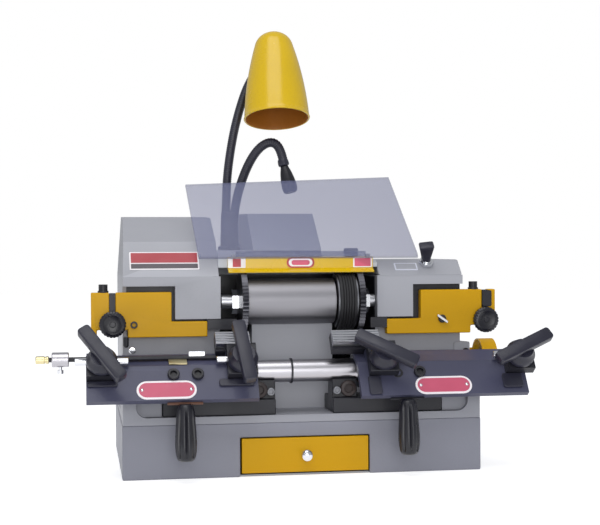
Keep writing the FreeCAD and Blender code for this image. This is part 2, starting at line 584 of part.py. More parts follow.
def spindle():
    drum = spindle_line("drum_radius", "drum_left", "drum_right - drum_left")
    bore = spindle_line("drum_bore", "drum_left", "drum_right - drum_left")
    seats = ["drum_left", "drum_right - bearing_width"]
    pockets = [spindle_line("bearing_radius", start, "bearing_width") for start in seats]
    part("spindle_housing", less(drum, bore, *pockets))
    rings = [less(spindle_line("bearing_radius", start, "bearing_width"),
                  spindle_line("spindle_radius + bearing_gap", start,
                               "bearing_width")) for start in seats]
    part("spindle_bearings", gathered(*rings))
    part("spindle_shaft", spindle_line("spindle_radius", "spindle_left", "spindle_right - spindle_left"))
    part("cutter_left", toothed_disc("cutter_left_x"))
    part("cutter_right", toothed_disc("cutter_right_x"))
    part("spindle_nuts", gathered(hex_nut("cutter_left_x - nut_thick"),
                                  hex_nut("cutter_right_x + cutter_thick")))
    part("spindle_pulley", pulley("spindle_pulley", "spindle_y", "spindle_z", "spindle_radius"))


def loop_face(first, second, first_radius, second_radius):
    """The outline of a band drawn tight round two circles in a plane across X."""
    along = second - first
    gap = along.Length
    base_angle = math.atan2(along.z, along.y)
    lean = math.acos((first_radius - second_radius) / gap)

    def on_circle(centre, radius, turn):
        return centre + FreeCAD.Vector(0, radius * math.cos(turn), radius * math.sin(turn))

    upper = [on_circle(first, first_radius, base_angle + lean),
             on_circle(second, second_radius, base_angle + lean)]
    lower = [on_circle(first, first_radius, base_angle - lean),
             on_circle(second, second_radius, base_angle - lean)]
    far = on_circle(second, second_radius, base_angle)
    near = on_circle(first, first_radius, base_angle + math.pi)
    edges = [Part.LineSegment(upper[0], upper[1]).toShape(), Part.Arc(upper[1], far, lower[1]).toShape(),
             Part.LineSegment(lower[1], lower[0]).toShape(), Part.Arc(lower[0], near, upper[0]).toShape()]
    return Part.Face(Part.Wire(edges))


def drive():
    belt = doc.addObject("Part::Feature", "Belt")
    first = FreeCAD.Vector(0, size("spindle_y"), size("spindle_z"))
    second = FreeCAD.Vector(0, size("motor_y"), size("motor_z"))
    inner = [size("spindle_pulley") + size("belt_clear"), size("motor_pulley") + size("belt_clear")]
    outer = [radius + size("belt_thick") for radius in inner]
    width = FreeCAD.Vector(size("belt_right") - size("belt_left"), 0, 0)
    hollow = loop_face(first, second, *inner).extrude(width)
    belt.Shape = loop_face(first, second, *outer).extrude(width).cut(hollow)
    part("drive_belt", place(belt, ("belt_left", 0, 0)))
    can = rod("motor_radius", ("motor_left", "motor_y", "motor_z"), "motor_right - motor_left")
    foot = block(("motor_left + 15", "motor_y - motor_radius", "bed_floor"),
                 ("motor_right - 15", "motor_y + motor_radius", "motor_foot"))
    through = rod("shaft_radius + shaft_gap", ("motor_left - 1", "motor_y", "motor_z"),
                  "motor_right - motor_left + 2")
    part("motor", less(joined(can, foot), through))
    part("motor_shaft", rod("shaft_radius", ("motor_left + 5", "motor_y", "motor_z"),
                            "shaft_end - motor_left - 5"))
    part("motor_pulley", pulley("motor_pulley", "motor_y", "motor_z", "shaft_radius"))
    wheel = rod("brush_radius", ("brush_left", "motor_y", "motor_z"), "brush_right - brush_left")
    axle = rod("shaft_radius", ("brush_left", "motor_y", "motor_z"), "brush_right - brush_left")
    part("brush_wheel", less(wheel, axle))
    span = "guard_right - guard_left"
    skin = rod("guard_radius", ("guard_left", "motor_y", "motor_z"), span)
    inside = rod("guard_radius - guard_thick", ("guard_left", "motor_y", "motor_z"), span)
    under = block(("guard_left - 1", "motor_y - guard_radius - 1", "motor_z - guard_radius - 1"),
                  ("guard_right + 1", "motor_y + guard_radius + 1", "motor_z"))
    tab = block(("body_right", "motor_y + guard_radius - guard_thick", "motor_z"),
                ("guard_left + 6", "motor_y + guard_radius", "motor_z + guard_tab"))
    part("brush_guard", joined(less(skin, inside, under), tab))


def tracer(side):
    """One yellow tracer bracket with its follower and adjusting knob."""
    sign = -1 if side == "left" else 1
    front = "face_front - bracket_thick"
    middle = side + "_tracer_x"

    def across(low, high, z_low, z_high):
        ends = ("-(%s)" % high, "-(%s)" % low) if sign < 0 else (low, high)
        return block((ends[0], front, z_low), (ends[1], "face_front", z_high))

    def cut(half, z_low, z_high):
        return block(("%s - %s" % (middle, half), front + " - 1", z_low),
                     ("%s + %s" % (middle, half), "face_front + 1", z_high))

    body_block = across("bracket_step", "bracket_outer", "bracket_low", "bracket_high")
    tongue = across("bracket_inner", "bracket_step + 1", "bracket_low", "tongue_high")
    slit = cut("bracket_slot / 2", "slot_low", "bracket_high + 1")
    channel = cut("tracer_slot / 2", "bracket_low - 1", "tracer_high + tracer_room")
    relief = cut("relief_half", "bracket_low - 1", "relief_high")
    part("tracer_bracket_" + side, less(joined(body_block, tongue), slit, channel, relief))
    blade = block((middle + " - tracer_width / 2", "tracer_front", "tracer_low"),
                  (middle + " + tracer_width / 2", "tracer_back", "tracer_high"))
    nose = doc.addObject("Part::Common", "Nose")
    nose.Base = blade
    nose.Tool = spindle_line("cutter_radius", "-bracket_outer", "2 * bracket_outer")
    hole = rod("tracer_hole", (middle, "tracer_front - 1", "tracer_knob_z"), "20", "y")
    part("tracer_" + side, less(nose, hole))
    spin = [(0, "-bracket_thick"), ("tracer_screw", "-bracket_thick"), ("tracer_screw", 0),
            ("tracer_knob_radius - 1", 0), ("tracer_knob_radius", 1),
            ("tracer_knob_radius", "tracer_knob_thick - 2"),
            ("tracer_knob_radius - 2", "tracer_knob_thick"), (0, "tracer_knob_thick")]
    at = (middle, front + " - tracer_knob_gap", "tracer_knob_z")
    part("tracer_knob_" + side, turned(spin, at, ((1, 0, 0), 90)))


def bracket_trim():
    """The guide bars at the tongues' ends, and the clamp screws on top of the brackets."""
    front = "face_front - bracket_thick"
    left = block(("-bracket_inner", front, "guide_low"), ("bar_left_end", "face_front", "guide_high"))
    right = block(("bar_right_end", front, "guide_low"), ("bracket_inner", "face_front", "guide_high"))
    part("guide_bars", gathered(left, right))
    screws = []
    for side in ("left", "right"):
        middle = (side + "_cap_x", "face_front - bracket_thick / 2", "bracket_high")
        washer = rod("washer_radius - 2", middle, "washer_high", "z")
        head = rod("cap_radius", (middle[0], middle[1], "bracket_high + washer_high"), "cap_high", "z")
        screws.append(joined(washer, head))
    part("bracket_screws", gathered(*screws))


def shield():
    face = "face_front - strip_thick"
    strip = block(("strip_left", face + " - strip_thick", "strip_low"),
                  ("strip_right", face, "strip_high"))
    pin = rod("barrel_pin + barrel_fit", ("strip_left - 1", "shield_y", "shield_z"),
              "strip_right - strip_left + 2")
    ears = []
    for start in ("barrel_left - ear_width - 0.5", "barrel_right + 0.5"):
        ears.append(block((start, "shield_y - barrel_radius", "strip_high - 2"),
                          (start + " + ear_width", face, "shield_z + barrel_radius")))
    part("shield_strip", less(joined(strip, *ears), pin))
    body = doc.addObject("PartDesign::Body", "Sheet")
    corners = [("shield_left", 0), ("shield_right", 0), ("shield_right_top", "shield_right_length"),
               ("shield_left", "shield_left_length")]
    pad = body.newObject("PartDesign::Pad", "Thickness")
    pad.Profile = outline(body, "XY_Plane", corners)
    bind(pad, Length="shield_thick")
    lean = "shield_lean * 1 deg"
    at = (0, "shield_y + shield_thick / 2 * sin(%s)" % lean,
          "shield_z - shield_thick / 2 * cos(%s)" % lean)
    place(body, at, ((1, 0, 0), size("shield_lean")))
    slots = [block((start + " - 0.5", "shield_y - 6", "shield_z - 6"),
                   (start + " + ear_width + 0.5", "shield_y + 7", "shield_z + 9"))
             for start in ("barrel_left - ear_width - 0.5", "barrel_right + 0.5")]
    barrel = rod("barrel_radius", ("barrel_left", "shield_y", "shield_z"), "barrel_right - barrel_left")
    ends = rod("barrel_pin", ("barrel_left - ear_width", "shield_y", "shield_z"),
               "barrel_right - barrel_left + 2 * ear_width")
    part("shield", joined(less(body, *slots), barrel, ends))


def bent_tube(name, points, radius):
    """A tube along straight runs joined by tangent arcs as large as the runs allow."""
    points = [FreeCAD.Vector(*point) for point in points]
    edges = []
    last = points[0]
    for before, corner, after in zip(points, points[1:], points[2:]):
        arriving = (corner - before).normalize()
        leaving = (after - corner).normalize()
        turn = arriving.getAngle(leaving)
        reach = 0.45 * min((corner - before).Length, (after - corner).Length)
        start = corner - arriving * reach
        end = corner + leaving * reach
        inward = (leaving - arriving).normalize()
        bend = reach / math.tan(turn / 2)
        middle = corner + inward * (bend / math.cos(turn / 2) - bend)
        edges.append(Part.LineSegment(last, start).toShape())
        edges.append(Part.Arc(start, middle, end).toShape())
        print("%s bend radius %.0f" % (name, bend))
        last = end
    edges.append(Part.LineSegment(last, points[-1]).toShape())
    path = Part.Wire(edges)
    ring = Part.Wire(Part.makeCircle(radius, points[0], points[1] - points[0]))
    item = doc.addObject("Part::Feature", "Neck")
    item.Shape = path.makePipeShell([ring], True, False)
    ratio = item.Shape.Volume / (math.pi * radius ** 2 * path.Length)
    print("%s volume %.3f of its section times its length" % (name, ratio))
    return part(name, item)


def shade_profile(inset):
    """The bullet outline of the lamp shade from crown to mouth, drawn in by a wall thickness."""
    crown = FreeCAD.Vector(0, 0, inset)
    shoulder = FreeCAD.Vector(size("shade_crown") + 3 - inset, 0,
                              size("shade_waist_at") * 0.25 + inset * 0.6)
    waist = FreeCAD.Vector(size("shade_waist") - inset, 0, size("shade_waist_at"))
    belly = FreeCAD.Vector(size("shade_mouth") - 4 - inset, 0, size("shade_length") * 0.66)
    mouth = FreeCAD.Vector(size("shade_mouth") - inset, 0, size("shade_length"))
    return crown, mouth, [Part.Arc(crown, shoulder, waist).toShape(),
                          Part.Arc(waist, belly, mouth).toShape()]


def down_tilted(item, at, tilt):
    """Hang an object so that its own Z axis points down and leans forward by some degrees."""
    return place(item, at, ((1, 0, 0), 180 - tilt))


def lamp():
    spin = [(0, 0), ("lamp_foot_radius", 0), ("lamp_foot_radius", "lamp_foot_high - 1"),
            ("lamp_foot_radius - 1", "lamp_foot_high"), ("lamp_collar_radius", "lamp_foot_high"),
            ("lamp_collar_radius", "lamp_foot_high + lamp_collar_high"),
            (0, "lamp_foot_high + lamp_collar_high")]
    part("lamp_base", turned(spin, ("lamp_x", "lamp_y", "deck_high")))
    top = size("deck_high") + size("lamp_foot_high") + size("lamp_collar_high")
    x = size("lamp_x")
    y = size("lamp_y")
    side = size("neck_radius")
    end = (x + 54, y + 42, top + 207)
    rise = [(x - side, y, top), (x - side, y, top + 18), (x - side - 1, y + 1, top + 42),
            (x - side, y + 3, top + 70), (x + 1, y + 9, top + 100),
            (x + 8, y + 18, top + 130), (x + 17, y + 29, top + 158), (x + 27, y + 38, top + 184),
            (x + 39, y + 42, top + 203)]
    bent_tube("lamp_neck", rise + [end], size("neck_radius"))
    outer_crown, outer_mouth, outer = shade_profile(0)
    inner_crown, inner_mouth, inner = shade_profile(size("shade_thick"))
    rim = Part.LineSegment(outer_mouth, inner_mouth).toShape()
    axis = Part.LineSegment(inner_crown, outer_crown).toShape()
    face = Part.Face(Part.Wire(Part.__sortEdges__(outer + inner + [rim, axis])))
    skin = doc.addObject("Part::Feature", "Skin")
    skin.Shape = face.revolve(FreeCAD.Vector(), FreeCAD.Vector(0, 0, 1), 360)
    down_tilted(skin, ("shade_x", "shade_y", "shade_z"), size("shade_tilt"))
    knuckle = rod("knuckle_radius", (end[0] + 1.2, end[1], end[2]), "knuckle_length")
    web = block((end[0] + 3, end[1] - 9.6, end[2] - 4), (end[0] + 10, end[1], end[2] + 4))
    part("lamp_shade", joined(skin, knuckle, web))
    bulb = [(0, "shade_thick + 0.2"), ("socket_radius / 4", "socket_from + 1"),
            ("socket_radius - 3", "socket_from + 7"),
            ("socket_radius", "socket_from + 14"), ("socket_radius", "socket_from + socket_length"),
            ("bulb_radius * 0.55", "socket_from + socket_length"),
            ("bulb_radius * 0.9", "bulb_at - bulb_radius * 0.45"),
            ("bulb_radius", "bulb_at"), ("bulb_radius * 0.87", "bulb_at + bulb_radius * 0.5"),
            ("bulb_radius * 0.5", "bulb_at + bulb_radius * 0.87"), (0, "bulb_at + bulb_radius")]
    part("lamp_bulb", down_tilted(turned(bulb, (0, 0, 0)), ("shade_x", "shade_y", "shade_z"),
                                  size("shade_tilt")))


def spot():
    """The small second light on its own neck."""
    top = size("deck_high") + size("lamp_foot_high") + size("lamp_collar_high")
    x = size("lamp_x") + size("neck_radius")
    y = size("lamp_y")
    end = (x + 59.7, y - 23.4, top + 80)
    arch = [(x, y, top), (x, y, top + 12), (x + 2.2, y, top + 32), (x + 7.5, y, top + 56),
            (x + 17, y - 3, top + 82), (x + 28, y - 8, top + 101),
            (x + 40, y - 13, top + 110.5), (x + 50.5, y - 17.5, top + 109.5), (x + 57, y - 20.5, top + 97)]
    bent_tube("spot_neck", arch + [end], size("spot_neck_radius"))
    spin = [(0, 0.3), (1.8, 1.1), (2.5, 2.8), ("spot_waist", "spot_length * 0.2"),
            ("spot_waist + 0.5", "spot_length * 0.4"), ("spot_mouth", "spot_length * 0.8"),
            ("spot_mouth", "spot_length + 2"), ("spot_mouth - 1.5", "spot_length + 2"),
            ("spot_mouth - 2.5", "spot_length"),
            (0, "spot_length")]
    head = down_tilted(turned(spin, (0, 0, 0)), end, size("spot_tilt"))
    lean = FreeCAD.Rotation(FreeCAD.Vector(0, 1, 0), -size("spot_lean"))
    head.Placement.Rotation = lean.multiply(head.Placement.Rotation)
    part("spot_head", head)


def switch():
    """The switch knob on the slanting face of the right housing."""
    front = size("face_front") - size("bracket_thick")
    lean = math.degrees(math.atan2(size("switchbox_high") - size("body_high"),
                                   size("switchbox_crown_y") - front))
    along = size("toggle_along")
    spin = [(0, "toggle_gap"), ("toggle_skirt", "toggle_gap"), ("toggle_skirt", "toggle_nut"),
            ("toggle_waist", "toggle_nut + 1.5"), ("toggle_waist", "toggle_nut + 4"),
            ("toggle_flare", "toggle_length - 2"), ("toggle_flare - 2", "toggle_length"),
            (0, "toggle_length")]
    sides = (("-toggle_skirt", "-toggle_thick / 2"), ("toggle_thick / 2", "toggle_skirt"))
    flats = [block(("-toggle_skirt", low, "toggle_nut + 4"), ("toggle_skirt", high, "toggle_length + 1"))
             for low, high in sides]
    knob = less(turned(spin, (0, 0, 0)), *flats)
    at = ("toggle_x", front + along * math.cos(math.radians(lean)),
          size("body_high") + along * math.sin(math.radians(lean)))
    part("switch_knob", place(knob, at, ((1, 0, 0), lean)))


def inlet():
    """The mains inlet on the back of the body."""
    low = ("inlet_x - inlet_width / 2", "base_back", "inlet_z - inlet_high / 2")
    high = ("inlet_x + inlet_width / 2", "base_back + inlet_depth", "inlet_z + inlet_high / 2")
    recess = block((low[0] + " + inlet_rim", "base_back + inlet_floor", low[2] + " + inlet_rim"),
                   (high[0] + " - inlet_rim", "base_back + inlet_depth + 1", high[2] + " - inlet_rim"))
    part("power_inlet", less(block(low, high), recess))


# Each vise with the angle of its knob's bar on the sloping plate in degrees from X, the reach of the
# jaw's nose to the left, the jaw's height and where its front starts to taper.
VISES = (("left_outer", "left_vise_outer", -56, ""), ("left_inner", "left_vise_inner", -83, "left"),
         ("right_inner", "right_vise_inner", -30, "right"), ("right_outer", "right_vise_outer", 26, ""))


def build():
    for make in (base, drawer, bed, body, covers, rail, gauge, spindle, drive, bracket_trim, shield,
                 lamp, spot, switch, inlet):
        make()
    for side in ("left", "right"):
        carriage(side)
        handle(side)
        tracer(side)
    for row in VISES:
        vise(*row)


def finish():
    """Check every object, then write each sub-part to its own file."""
    doc.recompute()
    for item in doc.Objects:
        if "Invalid" in item.State or "Error" in item.State:
            raise RuntimeError("%s failed: %s" % (item.Name, item.State))
    for item in PARTS:
        if item.Shape.isNull() or not item.Shape.isValid():
            raise RuntimeError("%s has no valid shape" % item.Label)
        print("%-22s %10.0f mm3  %d solids" % (item.Label, item.Shape.Volume, len(item.Shape.Solids)))
    for item in PARTS:
        item.Shape.exportStep("parts/%s.step" % item.Label)


build()
finish()
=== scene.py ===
# %% [markdown]
# # A bench machine for copying keys
# The machine stands on a steel base with a chip drawer. Two carriages rock on one cross shaft and
# carry the key vises, a belt turns the cutters, and a lamp on a bent neck lights the work. The exact
# solids come in first and stay where they are; this file gives them finishes and finer pieces.

# %% Load the solids
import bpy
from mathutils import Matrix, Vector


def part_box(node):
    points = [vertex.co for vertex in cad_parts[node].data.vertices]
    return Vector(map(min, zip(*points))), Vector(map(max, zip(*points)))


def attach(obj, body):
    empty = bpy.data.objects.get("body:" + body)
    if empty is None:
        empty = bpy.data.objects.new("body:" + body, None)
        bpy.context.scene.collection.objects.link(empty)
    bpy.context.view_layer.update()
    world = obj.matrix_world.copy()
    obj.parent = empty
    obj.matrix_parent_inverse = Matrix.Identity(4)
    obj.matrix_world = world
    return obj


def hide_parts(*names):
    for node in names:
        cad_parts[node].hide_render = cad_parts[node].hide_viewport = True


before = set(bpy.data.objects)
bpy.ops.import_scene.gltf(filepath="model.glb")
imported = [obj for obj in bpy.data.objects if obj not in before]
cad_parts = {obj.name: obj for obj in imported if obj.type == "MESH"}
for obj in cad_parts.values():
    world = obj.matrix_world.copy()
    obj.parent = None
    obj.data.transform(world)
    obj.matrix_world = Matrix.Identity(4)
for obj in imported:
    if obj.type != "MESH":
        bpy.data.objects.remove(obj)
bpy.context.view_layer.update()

import math

import bmesh
import bpy
from mathutils import Matrix, Vector

MM = 0.001
scene = bpy.context.scene
scene.view_settings.view_transform = "Standard"

# %% [markdown]
# ## Objects and node trees
# Floor, sky, finishes and repeated parts are all node trees, so one helper adds a node, sets it up and
# fills its sockets: each with a value, or with what another node gives.

# %% Helpers for objects and node trees
def placed(name, data):
    """A new object in the scene."""
    item = bpy.data.objects.new(name, data)
    scene.collection.objects.link(item)
    return item


def node(tree, kind, sockets=(), **settings):
    """A new node; a socket that is given another node's output is linked to it."""
    new = tree.nodes.new(kind)
    for label, value in settings.items():
        setattr(new, label, value)
    for label, value in dict(sockets).items():
        if isinstance(value, bpy.types.NodeSocket):
            tree.links.new(value, new.inputs[label])
        else:
            new.inputs[label].default_value = value
    return new


def calc(tree, operation, first, second):
    """The result of one step of arithmetic on two values or outputs."""
    return node(tree, "ShaderNodeMath", {0: first, 1: second}, operation=operation).outputs[0]


print("helpers are ready")

# %% [markdown]
# ## The camera
# The photograph is taken from the front, a little to the left, at about half the machine's height.
# The long edges of the base fix the turn of the camera, and the size of the base its distance.

# %% Set up the camera
LOOK_YAW = math.radians(9.39)
LOOK_PITCH = math.radians(-0.53)
LOOK_ROLL = math.radians(-0.27)
CAMERA_AT, LENS_MM, SENSOR_MM = (-0.2435, -1.5909, 0.2476), 79.8, 36.0
look = Vector((math.cos(LOOK_PITCH) * math.sin(LOOK_YAW), math.cos(LOOK_PITCH) * math.cos(LOOK_YAW),
               math.sin(LOOK_PITCH)))
lens = bpy.data.cameras.new("photo_camera")
lens.sensor_width = SENSOR_MM
lens.lens = LENS_MM
camera = placed("photo_camera", lens)
camera.location = CAMERA_AT
turn = look.to_track_quat("-Z", "Y") @ Matrix.Rotation(LOOK_ROLL, 3, "Z").to_quaternion()
camera.rotation_euler = turn.to_euler()
scene.camera = camera
print("camera looks along", tuple(round(part, 3) for part in look))

# %% [markdown]
# ## Floor and light
# A product picture like this one has a white floor that runs into a white background. The floor
# stays a matt surface, so it keeps the soft shadow, and a little light of its own lifts it to white
# for the camera and for reflections. Two broad lamps, above and in front, and a weak one at the left
# light the machine, and the sky fills the shadows.

# %% Floor, sky and lamps
FLOOR_GLOW, FLOOR_HALF, FLOOR_WHITE = 0.62, 6.0, (0.86, 0.86, 0.87, 1)
SKY_LEVEL, SKY_TINT, WHITE = 0.5, (0.95, 0.97, 1.0, 1), (1, 1, 1, 1)
LAMP_TARGET = (0.0, -0.05, 0.2)
LAMPS = {"overhead_box": ((-0.25, -0.75, 1.75), 1.3, 12), "left_box": ((-1.5, -1.2, 0.9), 0.9, 1),
         "front_box": ((-0.1, -2.3, 0.5), 1.0, 10)}


def floor_finish():
    finish = bpy.data.materials.new("white_floor")
    finish.use_nodes = True
    tree = finish.node_tree
    tree.nodes.clear()
    path = node(tree, "ShaderNodeLightPath").outputs
    mirrored = calc(tree, "MAXIMUM", path["Is Glossy Ray"], path["Is Transmission Ray"])
    seen = calc(tree, "MAXIMUM", path["Is Camera Ray"], mirrored)
    glow = node(tree, "ShaderNodeEmission", {"Strength": calc(tree, "MULTIPLY", seen, FLOOR_GLOW)})
    matt = node(tree, "ShaderNodeBsdfDiffuse", {"Color": FLOOR_WHITE})
    both = node(tree, "ShaderNodeAddShader", {0: matt.outputs[0], 1: glow.outputs[0]})
    node(tree, "ShaderNodeOutputMaterial", {"Surface": both.outputs[0]})
    return finish


def sky():
    world = bpy.data.worlds.new("studio")
    scene.world = world
    world.use_nodes = True
    tree = world.node_tree
    tree.nodes.clear()
    path = node(tree, "ShaderNodeLightPath").outputs
    seen = calc(tree, "MAXIMUM", path["Is Camera Ray"], path["Is Transmission Ray"])
    ambient = node(tree, "ShaderNodeBackground", {"Color": SKY_TINT, "Strength": SKY_LEVEL})
    white = node(tree, "ShaderNodeBackground", {"Color": WHITE, "Strength": 1.0})
    mix = node(tree, "ShaderNodeMixShader", {"Fac": seen, 1: ambient.outputs[0], 2: white.outputs[0]})
    node(tree, "ShaderNodeOutputWorld", {"Surface": mix.outputs[0]})


def softbox(name, place, side, power):
    lamp = bpy.data.lights.new(name, "AREA")
    lamp.shape = "SQUARE"
    lamp.size = side
    lamp.energy = power
    item = placed(name, lamp)
    item.location = place
    aim = Vector(LAMP_TARGET) - Vector(place)
    item.rotation_euler = aim.to_track_quat("-Z", "Y").to_euler()


floor_mesh = bpy.data.meshes.new("floor")
floor_corners = [(FLOOR_HALF * x, FLOOR_HALF * y, 0) for x, y in ((-1, -1), (1, -1), (1, 1), (-1, 1))]
floor_mesh.from_pydata(floor_corners, [], [(0, 1, 2, 3)])
floor_mesh.materials.append(floor_finish())
floor = placed("floor", floor_mesh)
sky()
for name, (place, side, power) in LAMPS.items():
    softbox(name, place, side, power)
print("floor, sky and", len(LAMPS), "soft lamps are set")

# %% [markdown]
# ## Finishes
# Each finish is one Principled surface whose colour, gloss and fine relief come from noise on the
# object's own coordinates. A picture could do this too, but noise keeps its true scale on every
# piece. Values that are the same all over sit on the shader's sockets.

# %% Helpers for finishes
COAT_ROUGHNESS = 0.12
FLAT_LEVEL, EDGE_LEVEL = 0.52, 0.6


def srgb(red, green, blue):
    """A colour as it is read from a screen, made linear for the shader."""
    parts = []
    for value in (red, green, blue):
        part = value / 255
        parts.append(part / 12.92 if part <= 0.04045 else ((part + 0.055) / 1.055) ** 2.4)
    return (*parts, 1.0)


def shift(colour, factor):
    """A colour made darker or lighter."""
    return (*(min(1.0, part * factor) for part in colour[:3]), 1.0)


class Finish:
    """A material under construction: its node tree, its surface and its coordinates."""

    def __init__(self, name, rough, metallic=0.0, coat=0.0):
        self.material = bpy.data.materials.new(name)
        self.material.use_nodes = True
        self.tree = self.material.node_tree
        self.surface = self.tree.nodes["Principled BSDF"]
        for label, value in (("Roughness", rough), ("Metallic", metallic), ("Coat Weight", coat),
                             ("Coat Roughness", COAT_ROUGHNESS)):
            self.surface.inputs[label].default_value = value
        self.place = node(self.tree, "ShaderNodeTexCoord").outputs["Object"]

    def put(self, label, value):
        """Feed one of the surface's sockets."""
        self.tree.links.new(value, self.surface.inputs[label])

    def noise(self, scale, detail=3.0, stretch=(1, 1, 1)):
        """Noise over the object, its grain drawn out along an axis by a small stretch value."""
        spread = node(self.tree, "ShaderNodeMapping", {"Vector": self.place, "Scale": stretch})
        cloud = node(self.tree, "ShaderNodeTexNoise",
                     {"Vector": spread.outputs[0], "Scale": scale, "Detail": detail})
        return cloud.outputs["Fac"]

    def span(self, value, low, high, start=0.3, end=0.7):
        """A value carried from one range to another."""
        ramp = node(self.tree, "ShaderNodeMapRange", {"Value": value, "From Min": start, "From Max": end,
                                                      "To Min": low, "To Max": high})
        return ramp.outputs["Result"]

    def blend(self, factor, first, second):
        """Two colours, or a colour and the result of a blend, mixed by a factor."""
        mix = node(self.tree, "ShaderNodeMix", {"Factor": factor, 6: first, 7: second}, data_type="RGBA")
        return mix.outputs[2]

    def edges(self):
        """Where the surface is convex: the edges that hands and tools rub."""
        geometry = node(self.tree, "ShaderNodeNewGeometry")
        return self.span(geometry.outputs["Pointiness"], 0.0, 1.0, FLAT_LEVEL, EDGE_LEVEL)

    def relief(self, value, strength, distance):
        bump = node(self.tree, "ShaderNodeBump",
                    {"Strength": strength, "Distance": distance, "Height": value})
        self.put("Normal", bump.outputs[0])


print("finish helpers are ready")

# %% [markdown]
# ### Paint, metal, plastic and rubber
# The grey housings are sprayed with an even paint that has a slight orange peel, the lamp shade and
# the strip with a glossier yellow, and both are a little lighter where edges are rubbed. Ground and
# turned steel shows fine lines along the way it was worked, and black plastic a fine moulded grain.

# %% Paint, metal and plastic
PAINT_CLOUDS, PAINT_SPECKS, PAINT_GLOSS, PAINT_PEEL = 14, 420, 30, 700
PEEL_STRENGTH, PEEL_HEIGHT, SPECK_TONE = 0.12, 0.0003, 0.88
METAL_GRAIN, METAL_SMUDGES, LINE_HEIGHT, SMUDGE_TONE = 160, 12, 0.0002, 0.8
PLASTIC_CLOUDS, PLASTIC_GLOSS, PLASTIC_GRAIN, GRAIN_HEIGHT = 25, 60, 1100, 0.0003
PLASTIC_DARK, PLASTIC_PALE, PLASTIC_WORN = 0.85, 1.2, 1.7


def paint(name, colour, rough, coat=0.1, spread=0.06, worn=1.18, shine=0.35):
    finish = Finish(name, rough, 0.0, coat)
    finish.surface.inputs["Specular IOR Level"].default_value = shine
    cloud = finish.span(finish.noise(PAINT_CLOUDS, 4), 0.0, 1.0)
    tone = finish.blend(cloud, shift(colour, 1 - spread), shift(colour, 1 + spread))
    speck = finish.span(finish.noise(PAINT_SPECKS, 2), 0.0, 0.5, 0.55, 0.75)
    tone = finish.blend(speck, tone, shift(colour, SPECK_TONE))
    finish.put("Base Color", finish.blend(finish.edges(), tone, shift(colour, worn)))
    finish.put("Roughness", finish.span(finish.noise(PAINT_GLOSS), rough - 0.05, rough + 0.07))
    finish.relief(finish.noise(PAINT_PEEL, 2), PEEL_STRENGTH, PEEL_HEIGHT)
    return finish.material


def metal(name, colour, rough, stretch, lines=0.06, spread=0.1):
    finish = Finish(name, rough, 1.0)
    grain = finish.noise(METAL_GRAIN, 4, stretch)
    smudge = finish.span(finish.noise(METAL_SMUDGES, 3), 0.0, 0.35)
    streak = finish.span(grain, 0.0, 1.0)
    tone = finish.blend(streak, shift(colour, 1 - spread), shift(colour, 1 + spread))
    finish.put("Base Color", finish.blend(smudge, tone, shift(colour, SMUDGE_TONE)))
    finish.put("Roughness", finish.span(grain, rough - 0.06, rough + 0.1))
    finish.relief(grain, lines, LINE_HEIGHT)
    return finish.material


def plastic(name, colour, rough, grain=0.15):
    finish = Finish(name, rough)
    cloud = finish.span(finish.noise(PLASTIC_CLOUDS, 4), 0.0, 1.0)
    tone = finish.blend(cloud, shift(colour, PLASTIC_DARK), shift(colour, PLASTIC_PALE))
    finish.put("Base Color", finish.blend(finish.edges(), tone, shift(colour, PLASTIC_WORN)))
    finish.put("Roughness", finish.span(finish.noise(PLASTIC_GLOSS), rough - 0.06, rough + 0.08))
    finish.relief(finish.noise(PLASTIC_GRAIN, 2), grain, GRAIN_HEIGHT)
    return finish.material


GREY = paint("grey_paint", srgb(164, 165, 172), 0.42, 0.1)
# The bed gets a slightly darker copy of the grey paint: painted shade where it lies under the carriages.
BED_SHADED_GREY = paint("bed_painted_shade_grey", srgb(156, 157, 165), 0.46, 0.05)
# The hump gets a lighter copy of the grey paint: painted light, so it looks as bright as the hood behind the
# tinted shield.
HUMP_LIGHTENED_GREY = paint("hump_painted_light_grey", srgb(194, 197, 203), 0.46, 0.05)
# The base box gets a darker copy of the grey paint: painted shade on its front, which faces away from the
# light above.
BASE_SHADED_GREY = paint("base_painted_shade_grey", srgb(140, 141, 152), 0.46, 0.05)
YELLOW = paint("yellow_paint", srgb(206, 156, 0), 0.4, 0.05, spread=0.05, worn=1.2, shine=0.2)
LEMON = paint("lemon_paint", srgb(218, 180, 0), 0.24, 0.12, spread=0.04, worn=1.15, shine=0.5)
# The inside of the lamp shade is a darker orange copy of its yellow: painted shade.
LAMP_INSIDE_SHADED = paint("lamp_inside_painted_shade", srgb(170, 104, 30), 0.5, 0.05)
BLUE_GREY = paint("blue_grey_paint", srgb(66, 67, 88), 0.4, 0.15, spread=0.09, worn=1.4)
BLACK_PAINT = paint("black_paint", srgb(26, 26, 32), 0.42, 0.1, spread=0.15, worn=1.8)
SHEET = metal("sheet_steel", srgb(150, 152, 156), 0.45, (1, 0.05, 1))
CHROME = metal("chrome", srgb(225, 226, 230), 0.12, (1, 1, 0.2), 0.01, 0.03)
GROUND = metal("ground_steel", srgb(188, 189, 194), 0.3, (0.04, 1, 1), 0.05, 0.07)
SATIN = metal("satin_drum", srgb(150, 149, 154), 0.45, (0.03, 1, 1), 0.05, 0.06)
SHAFT = metal("polished_shaft", srgb(190, 188, 193), 0.28, (0.03, 1, 1), 0.03, 0.05)
CUTTER = metal("cutter_steel", srgb(96, 96, 102), 0.35, (1, 0.3, 0.3), 0.08, 0.2)
PULLEY = metal("pulley_metal", srgb(120, 121, 126), 0.38, (1, 0.2, 0.2), 0.05)
BRONZE = metal("bush_bronze", srgb(168, 124, 72), 0.38, (0.2, 1, 1), 0.04)
SADDLE_BROWN = paint("saddle_brown", srgb(46, 36, 36), 0.45, 0.1)
